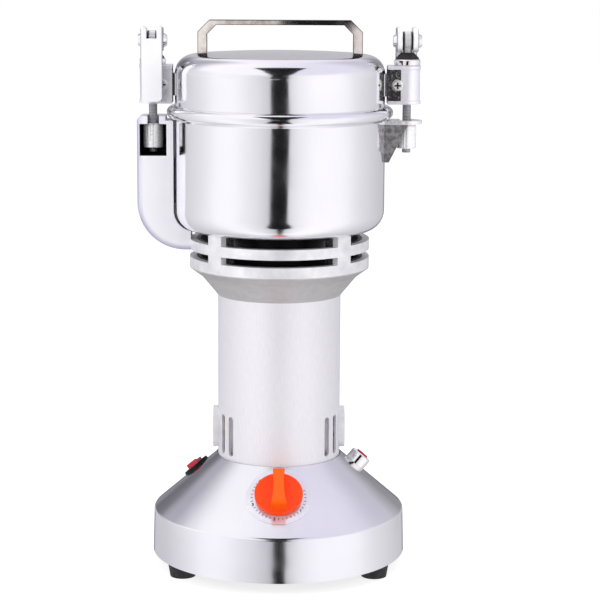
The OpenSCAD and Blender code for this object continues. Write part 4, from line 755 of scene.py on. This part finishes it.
def finish_solids():
    """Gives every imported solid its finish, its smooth shading and, where listed, its eased edges."""
    slot_of = {part["node"]: part["material_slot"] for part in frame["record"]["subparts"]}
    for name, solid in frame["nodes"].items():
        finish = OWN_FINISH.get(name, FINISHES[slot_of[name]])
        for holder in solid.material_slots:
            holder.material = finish
        solid.modifiers.new("joined and smoothed", "NODES").node_group = SMOOTHING
        if name in BEVELLED:
            edge = solid.modifiers.new("eased edges", "BEVEL")
            edge.width = BEVELLED[name] * MM
            edge.segments = 2
            edge.limit_method = "ANGLE"
            edge.angle_limit = BEVEL_ANGLE
        evened = solid.modifiers.new("even shading", "WEIGHTED_NORMAL")
        evened.keep_sharp = True


finish_solids()


# Printing on the dial

def tick_tree():
    """Thin bars set round a circle, all pointing at its middle."""
    ticks = Shaper("ticks round the dial")
    ticks.wants("count", "Count", "Every")
    ticks.wants("length", "Radius", "Length", "Width", "First turn", "Step")
    ticks.wants("finish", "Finish")
    points = ticks.node("GeometryNodeMeshLine")
    ticks.put(points.inputs["Count"], "Count")
    ticks.put(points.inputs["Offset"], (0, 0, 0))
    number = ticks.node("GeometryNodeInputIndex").outputs["Index"]
    turn = ticks.plus("First turn", ticks.times(number, "Step"))
    place = ticks.node("GeometryNodeSetPosition")
    ticks.put(place.inputs["Geometry"], points.outputs["Mesh"])
    ticks.put(place.inputs["Position"], ticks.vector(
        ticks.times(ticks.math("SINE", turn), "Radius"),
        ticks.times(ticks.math("COSINE", turn), "Radius"), 0.0))
    bar = ticks.node("GeometryNodeMeshGrid")
    ticks.put(bar.inputs["Size X"], "Width")
    ticks.put(bar.inputs["Size Y"], "Length")
    ticks.put(bar.inputs["Vertices X"], 2)
    ticks.put(bar.inputs["Vertices Y"], 3)
    copies = ticks.node("GeometryNodeInstanceOnPoints")
    ticks.put(copies.inputs["Points"], place.outputs["Geometry"])
    ticks.put(copies.inputs["Instance"], bar.outputs["Mesh"])
    # A number takes the place of one tick in so many
    left_over = ticks.math("MODULO", ticks.plus(number, 1.0), "Every")
    ticks.put(copies.inputs["Selection"], ticks.math("GREATER_THAN", left_over, 0.5))
    ticks.put(copies.inputs["Rotation"], ticks.vector(0.0, 0.0, ticks.times(turn, -1.0)))
    return ticks.finish(copies.outputs["Instances"])


def wrap_tree():
    """Gives flat artwork its thickness and lays it on the cone of the base.

    The artwork lies in X and Y, with Y up the slope and its middle where the dial's middle goes.
    """
    wrap = Shaper("laid on the cone")
    wrap.wants("geometry", "Geometry")
    wrap.wants("length", "Slope", "Rim radius", "Rim height", "Middle radius", "Sunk", "Lift", "Thickness")
    wrap.wants("finish", "Finish")
    thick = wrap.node("GeometryNodeExtrudeMesh", mode="FACES")
    wrap.put(thick.inputs["Mesh"], "Geometry")
    wrap.put(thick.inputs["Offset"], (0, 0, 1))
    wrap.put(thick.inputs["Offset Scale"], "Thickness")
    wrap.put(thick.inputs["Individual"], False)
    under = wrap.node("GeometryNodeFlipFaces")
    wrap.put(under.inputs["Mesh"], "Geometry")
    both = wrap.node("GeometryNodeJoinGeometry")
    wrap.put(both.inputs["Geometry"], thick.outputs["Mesh"])
    wrap.put(both.inputs["Geometry"], under.outputs["Mesh"])
    closed = wrap.node("GeometryNodeMergeByDistance")
    wrap.put(closed.inputs["Geometry"], both.outputs["Geometry"])
    wrap.put(closed.inputs["Distance"], JOIN_DISTANCE)

    sine = wrap.math("SINE", "Slope")
    cosine = wrap.math("COSINE", "Slope")
    tangent = wrap.math("TANGENT", "Slope")
    normal = wrap.vector(0.0, wrap.times(sine, -1.0), cosine)
    flat = wrap.node("ShaderNodeSeparateXYZ")
    wrap.put(flat.inputs["Vector"], wrap.node("GeometryNodeInputPosition").outputs["Position"])
    across, up_slope, height = (flat.outputs[axis] for axis in "XYZ")
    rise = wrap.times(wrap.minus("Rim radius", "Middle radius"), tangent)
    point = wrap.vector(
        across,
        wrap.minus(wrap.times(up_slope, cosine), "Middle radius"),
        wrap.plus(wrap.plus("Rim height", rise), wrap.times(up_slope, sine)))
    # Each pass moves the point nearer to the cone, square to the slope at the dial's middle
    for _ in range(4):
        split = wrap.node("ShaderNodeSeparateXYZ")
        wrap.put(split.inputs["Vector"], point)
        reach = wrap.math("SQRT", wrap.plus(wrap.math("POWER", split.outputs["X"], 2.0),
                                            wrap.math("POWER", split.outputs["Y"], 2.0)))
        fall = wrap.times(wrap.minus("Rim radius", reach), tangent)
        above = wrap.minus(split.outputs["Z"], wrap.plus("Rim height", fall))
        back = wrap.moved("SCALE", normal, wrap.times(above, cosine))
        point = wrap.moved("SUBTRACT", point, back)
    lift = wrap.plus(wrap.minus("Lift", "Sunk"), height)
    lying = wrap.node("GeometryNodeSetPosition")
    wrap.put(lying.inputs["Geometry"], closed.outputs["Geometry"])
    wrap.put(lying.inputs["Position"], wrap.moved("ADD", point, wrap.moved("SCALE", normal, lift)))
    return wrap.finish(lying.outputs["Geometry"])


def shape_with(piece, tree, **values):
    """Runs a tree on a piece and keeps the result as a plain mesh."""
    step = piece.modifiers.new(tree.name, "NODES")
    step.node_group = tree
    for socket in tree.interface.items_tree:
        if socket.in_out == "INPUT" and socket.name in values:
            step[socket.identifier] = values[socket.name]
    piece.update_tag()
    seen = piece.evaluated_get(bpy.context.evaluated_depsgraph_get())
    mesh = bpy.data.meshes.new_from_object(seen)
    piece.modifiers.remove(step)
    piece.data = mesh
    return piece


def new_piece(name, verts=(), faces=()):
    mesh = bpy.data.meshes.new(name)
    mesh.from_pydata(list(verts), [], list(faces))
    piece = bpy.data.objects.new(name, mesh)
    bpy.context.scene.collection.objects.link(piece)
    return piece


def ring_art(inner, outer, start, end, steps):
    """Flat strip along an arc."""
    verts, faces = [], []
    for i in range(steps + 1):
        turn = math.radians(start + (end - start) * i / steps)
        for r in (inner, outer):
            verts.append((r * math.sin(turn), r * math.cos(turn), 0))
    for i in range(steps):
        faces.append((2 * i + 1, 2 * i + 3, 2 * i + 2, 2 * i))
    return verts, faces


# Corners of each digit's stroke, on a grid four high
DIGITS = {
    "1": [(-0.7, 1.2), (0.2, 2), (0.2, -2)],
    "2": [(-1, 1.3), (-0.5, 2), (0.6, 2), (1, 1.3), (0.9, 0.5), (-1, -2), (1.1, -2)],
    "3": [(-1, 1.6), (-0.3, 2), (0.6, 1.8), (0.9, 1.1), (0, 0.2), (1, -0.8), (0.6, -1.8), (-0.3, -2),
          (-1, -1.6)],
    "4": [(0.6, -2), (0.6, 2), (-1.1, -0.8), (1.2, -0.8)],
}


def digit_art(digit, radius, turn, size, width):
    """Strokes of one upright digit whose middle lies at a turn on the dial."""
    verts, faces = [], []
    middle = Vector((radius * math.sin(math.radians(turn)), radius * math.cos(math.radians(turn))))
    points = [middle + Vector(p) * size for p in DIGITS[digit]]
    for a, b in zip(points, points[1:]):
        along = (b - a).normalized() * width / 2
        side = Vector((-along.y, along.x))
        first = len(verts)
        for corner in (a - along - side, b + along - side, b + along + side, a - along + side):
            verts.append((corner.x, corner.y, 0))
        faces.append((first, first + 1, first + 2, first + 3))
    return verts, faces


def art_piece(name, drawings):
    """One flat piece of several drawings."""
    verts, faces = [], []
    for points, shapes in drawings:
        first = len(verts)
        verts.extend(points)
        faces.extend(tuple(first + i for i in shape) for shape in shapes)
    return new_piece(name, verts, faces)


def dial_printing():
    ticks, wrap = tick_tree(), wrap_tree()
    on_cone = {"Slope": CONE_SLOPE, "Rim radius": RIM_R, "Rim height": RIM_Z, "Middle radius": DIAL_R,
               "Sunk": PRINT_SUNK, "Lift": DIAL_LIFT, "Thickness": PRINT_SUNK + PRINT_LIFT}
    bars = shape_with(new_piece("dial_ticks"), ticks, **{
        "Count": TICKS, "Radius": TICK_R, "Length": TICK_LENGTH, "Width": PRINT_WIDTH,
        "First turn": math.radians(FIRST_TICK), "Step": math.radians(TICK_STEP),
        "Every": TICKS_PER_NUMBER, "Finish": PRINT_INK})
    digits = []
    for place, digit in enumerate(DIGITS, 1):
        turn = FIRST_TICK + (place * TICKS_PER_NUMBER - 1) * TICK_STEP
        digits.append(digit_art(digit, NUMBER_R, turn, DIGIT_SCALE, PRINT_WIDTH))
    numbers = art_piece("dial_numbers", digits)
    arc = art_piece("dial_arc", [ring_art(*ARC_R, *ARC_TURN, 12)])
    outline = art_piece("dial_outline", [ring_art(*OUTLINE_R, 0, 360, 96)])
    for piece, ink in ((bars, PRINT_INK), (numbers, PRINT_INK), (arc, PRINT_INK), (outline, PRINT_LINE)):
        shape_with(piece, wrap, Finish=ink, **on_cone)
        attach(piece, "base")


dial_printing()


# Studio

def emission(name, color):
    card = bpy.data.materials.new(name)
    card.use_nodes = True
    card.node_tree.nodes.clear()
    nodes = Nodes(card.node_tree)
    glow = nodes.node("ShaderNodeEmission")
    glow.inputs["Color"].default_value = (*color, 1)
    nodes.link(glow.outputs["Emission"], nodes.node("ShaderNodeOutputMaterial").inputs["Surface"])
    return card


def floor_paint():
    """Near white to the camera, and plainly lit for everything else."""
    paint = bpy.data.materials.new("pale floor")
    paint.use_nodes = True
    paint.node_tree.nodes.clear()
    nodes = Nodes(paint.node_tree)
    white = nodes.node("ShaderNodeEmission")
    white.inputs["Color"].default_value = (1, 1, 1, 1)
    white.inputs["Strength"].default_value = 0.76
    matt = nodes.node("ShaderNodeBsdfDiffuse")
    matt.inputs["Color"].default_value = (0.60, 0.60, 0.60, 1)
    shown = nodes.node("ShaderNodeAddShader")
    nodes.link(white.outputs["Emission"], shown.inputs[0])
    nodes.link(matt.outputs["BSDF"], shown.inputs[1])
    plain = nodes.node("ShaderNodeBsdfDiffuse")
    plain.inputs["Color"].default_value = (0.80, 0.80, 0.81, 1)
    either = nodes.node("ShaderNodeMixShader")
    nodes.link(nodes.node("ShaderNodeLightPath").outputs["Is Camera Ray"], either.inputs["Fac"])
    nodes.link(plain.outputs["BSDF"], either.inputs[1])
    nodes.link(shown.outputs["Shader"], either.inputs[2])
    nodes.link(either.outputs["Shader"], nodes.node("ShaderNodeOutputMaterial").inputs["Surface"])
    return paint


def pale_floor():
    size = 6.0
    low = -0.1 * MM
    floor = new_piece("studio_floor", [(-size, -size, low), (size, -size, low), (size, size, low),
                                       (-size, size, low)], [(0, 1, 2, 3)])
    floor.data.materials.append(floor_paint())
    floor.visible_glossy = False


def studio_card(name, outline, color):
    """Card of one colour that only the polished metal reflects."""
    card = new_piece(name, outline, [tuple(range(len(outline)))])
    card.data.materials.append(emission(name, color))
    card.visible_camera = False
    card.visible_diffuse = False
    card.visible_shadow = False
    card.visible_transmission = False


def dark_card(name, outline):
    studio_card(name, outline, (0.01, 0.01, 0.011))


def upright(y, outline):
    """Outline in X and Z, set up at one depth."""
    return [(x, y, z) for x, z in outline]


def level(z, outline):
    """Outline in X and Y, laid at one height."""
    return [(x, y, z) for x, y in outline]


def lamp(name, place, size, power):
    data = bpy.data.lights.new(name, "AREA")
    data.shape = "RECTANGLE"
    data.size, data.size_y = size
    data.energy = power
    light = bpy.data.objects.new(name, data)
    bpy.context.scene.collection.objects.link(light)
    light.visible_glossy = False
    aim = Vector(LAMP_AIM) - Vector(place)
    light.matrix_world = Matrix.Translation(place) @ aim.to_track_quat("-Z", "Y").to_matrix().to_4x4()


# Brightness of the studio walls by their turn from the front, in degrees, left is minus.
# The bowl and the base's wall show the walls below eye height, the lid's top and the cone those above it.
LOW_WALLS = [
    (-180, 0.50), (-171, 0.24), (-165, 0.26), (-158, 0.62), (-129, 0.68), (-112, 0.77), (-97, 0.85),
    (-85, 0.94), (-73, 1.05), (-62, 1.08), (-52, 1.07), (-43, 1.01), (-34, 0.93), (-24, 0.84), (-16, 0.74),
    (0, 0.55), (11, 0.79), (20, 0.94), (29, 1.02), (38, 1.08), (57, 1.09), (68, 1.07), (79, 1.01), (91, 0.89),
    (104, 0.81), (120, 0.73), (141, 0.64), (158, 0.60), (165, 0.26), (171, 0.24), (180, 0.50),
]
HIGH_WALLS = [
    (-180, 0.54), (-173, 0.52), (-166, 0.28), (-157, 0.16), (-147, 0.20), (-138, 0.46), (-120, 0.78),
    (-97, 0.88), (-73, 1.05), (-43, 1.01), (-24, 0.84), (0, 0.55), (20, 0.94), (38, 1.06), (68, 1.06),
    (91, 0.89), (120, 0.76), (138, 0.62), (147, 0.48), (157, 0.30), (166, 0.30), (173, 0.52), (180, 0.54),
]


class Sky(Nodes):
    """Colours the studio by direction, as polished metal shows it."""

    def __init__(self, tree):
        super().__init__(tree)
        split = self.node("ShaderNodeSeparateXYZ")
        self.link(self.node("ShaderNodeTexCoord").outputs["Generated"], split.inputs["Vector"])
        self.x, self.y, self.z = (split.outputs[axis] for axis in "XYZ")

    def walls(self, tones):
        """Grey by the turn round the machine, a touch blue."""
        turn = self.math("ARCTAN2", self.x, self.times(self.y, -1))
        share = self.plus(self.math("DIVIDE", turn, 2 * math.pi), 0.5)
        ramp = self.node("ShaderNodeValToRGB")
        self.link(share, ramp.inputs["Fac"])
        stops = ramp.color_ramp.elements
        while len(stops) < len(tones):
            stops.new(0.5)
        for stop, (degrees, tone) in zip(stops, tones):
            stop.position = min(1, max(0, degrees / 360 + 0.5))
            stop.color = (tone, tone * 0.985, tone + 0.02, 1)
        return ramp.outputs["Color"]

    def ceiling(self):
        """Bright at the left, lavender at the right, dim in the corners at the back."""
        side = self.between(self.x, -0.35, 0.35)
        front = self.mixed(side, (1.08, 1.06, 1.09), (0.84, 0.81, 0.93))
        back = self.mixed(side, (0.45, 0.44, 0.50), (0.62, 0.60, 0.69))
        corner = self.times(self.between(self.math("ABSOLUTE", self.x), 0.14, 0.42),
                            self.between(self.y, 0.15, 0.62))
        return self.mixed(corner, front, back)

    def seen_by_metal(self):
        """The low walls, the high walls and the ceiling, one above the other."""
        walls = self.mixed(self.between(self.z, -0.03, 0.05), self.walls(LOW_WALLS), self.walls(HIGH_WALLS))
        return self.mixed(self.between(self.z, 0.28, 0.52), walls, self.ceiling())


def studio_world():
    world = bpy.data.worlds.new("white studio")
    bpy.context.scene.world = world
    world.use_nodes = True
    world.node_tree.nodes.clear()
    sky = Sky(world.node_tree)
    white = sky.node("ShaderNodeBackground")
    white.inputs["Color"].default_value = (1, 1, 1, 1)
    polished = sky.node("ShaderNodeBackground")
    sky.link(sky.seen_by_metal(), polished.inputs["Color"])
    light = sky.node("ShaderNodeBackground")
    light.inputs["Color"].default_value = (0.97, 0.96, 1, 1)
    light.inputs["Strength"].default_value = 0.5
    path = sky.node("ShaderNodeLightPath")
    lit = sky.node("ShaderNodeMixShader")
    sky.link(path.outputs["Is Glossy Ray"], lit.inputs["Fac"])
    sky.link(light.outputs["Background"], lit.inputs[1])
    sky.link(polished.outputs["Background"], lit.inputs[2])
    whole = sky.node("ShaderNodeMixShader")
    sky.link(path.outputs["Is Camera Ray"], whole.inputs["Fac"])
    sky.link(lit.outputs["Shader"], whole.inputs[1])
    sky.link(white.outputs["Background"], whole.inputs[2])
    sky.link(whole.outputs["Shader"], sky.node("ShaderNodeOutputWorld").inputs["Surface"])


def studio():
    pale_floor()
    studio_world()
    lamp("left softbox", (-1.4, -1.5, 0.8), (1.2, 1.5), 22)
    lamp("right softbox", (1.5, -1.4, 0.7), (1.1, 1.4), 17)
    lamp("top softbox", (0.1, -0.3, 1.9), (1.4, 1.2), 9)
    # Gap between the two softboxes, which the bowl, the lid and the base show as a dark stripe
    dark_card("front_gap", upright(GAP_Y, [
        (-0.27, -0.1), (-0.14, -0.3), (-0.14, -1.2), (0.16, -1.2), (0.16, -0.3), (0.25, -0.1), (0.27, 0.92),
        (0.48, 1.5), (0.7, CEILING_Z), (-0.65, CEILING_Z), (-0.42, 1.5), (-0.27, 0.92)]))
    dark_card("front_gap_ceiling", level(CEILING_Z, [
        (-0.62, GAP_Y), (0.68, GAP_Y), (0.70, -0.60), (-0.70, -0.60)]))
    dark_card("front_gap_floor", level(FLOOR_Z, [
        (-0.27, GAP_Y), (0.25, GAP_Y), (0.085, -0.36), (0.030, -0.31), (0.0135, -0.17), (0.0055, -0.095),
        (-0.0035, -0.095), (-0.0080, -0.17), (-0.018, -0.31), (-0.09, -0.36)]))
    # Cream paper before the handle, which keeps its flat face and its left leg bright
    studio_card("cream_paper_left", upright(PAPER_Y, [
        (-0.085, 0.33), (-0.064, 0.33), (-0.064, 0.357), (0.0, 0.357), (0.0, 0.366), (-0.085, 0.366)]),
        (1.0, 0.94, 0.91))
    studio_card("cream_paper_right", upright(PAPER_Y, [
        (0.066, 0.33), (0.09, 0.33), (0.09, 0.36), (0.066, 0.36)]), (0.86, 0.80, 0.80))


studio()


# Camera at the photograph's place

def photo_camera():
    data = bpy.data.cameras.new("photo camera")
    data.sensor_width = SENSOR
    data.lens = FOCAL_LENGTH / PHOTO_SIDE * SENSOR
    data.clip_start = 0.05
    data.clip_end = 30
    camera = bpy.data.objects.new("photo camera", data)
    bpy.context.scene.collection.objects.link(camera)
    bpy.context.scene.camera = camera
    view = Vector((math.sin(YAW) * math.cos(PITCH), math.cos(YAW) * math.cos(PITCH), -math.sin(PITCH)))
    turned = view.to_track_quat("-Z", "Y").to_matrix() @ Matrix.Rotation(ROLL, 3, "Z")
    camera.matrix_world = Matrix.Translation(CAMERA_PLACE) @ turned.to_4x4()


photo_camera()

bpy.context.scene.view_settings.view_transform = "Standard"
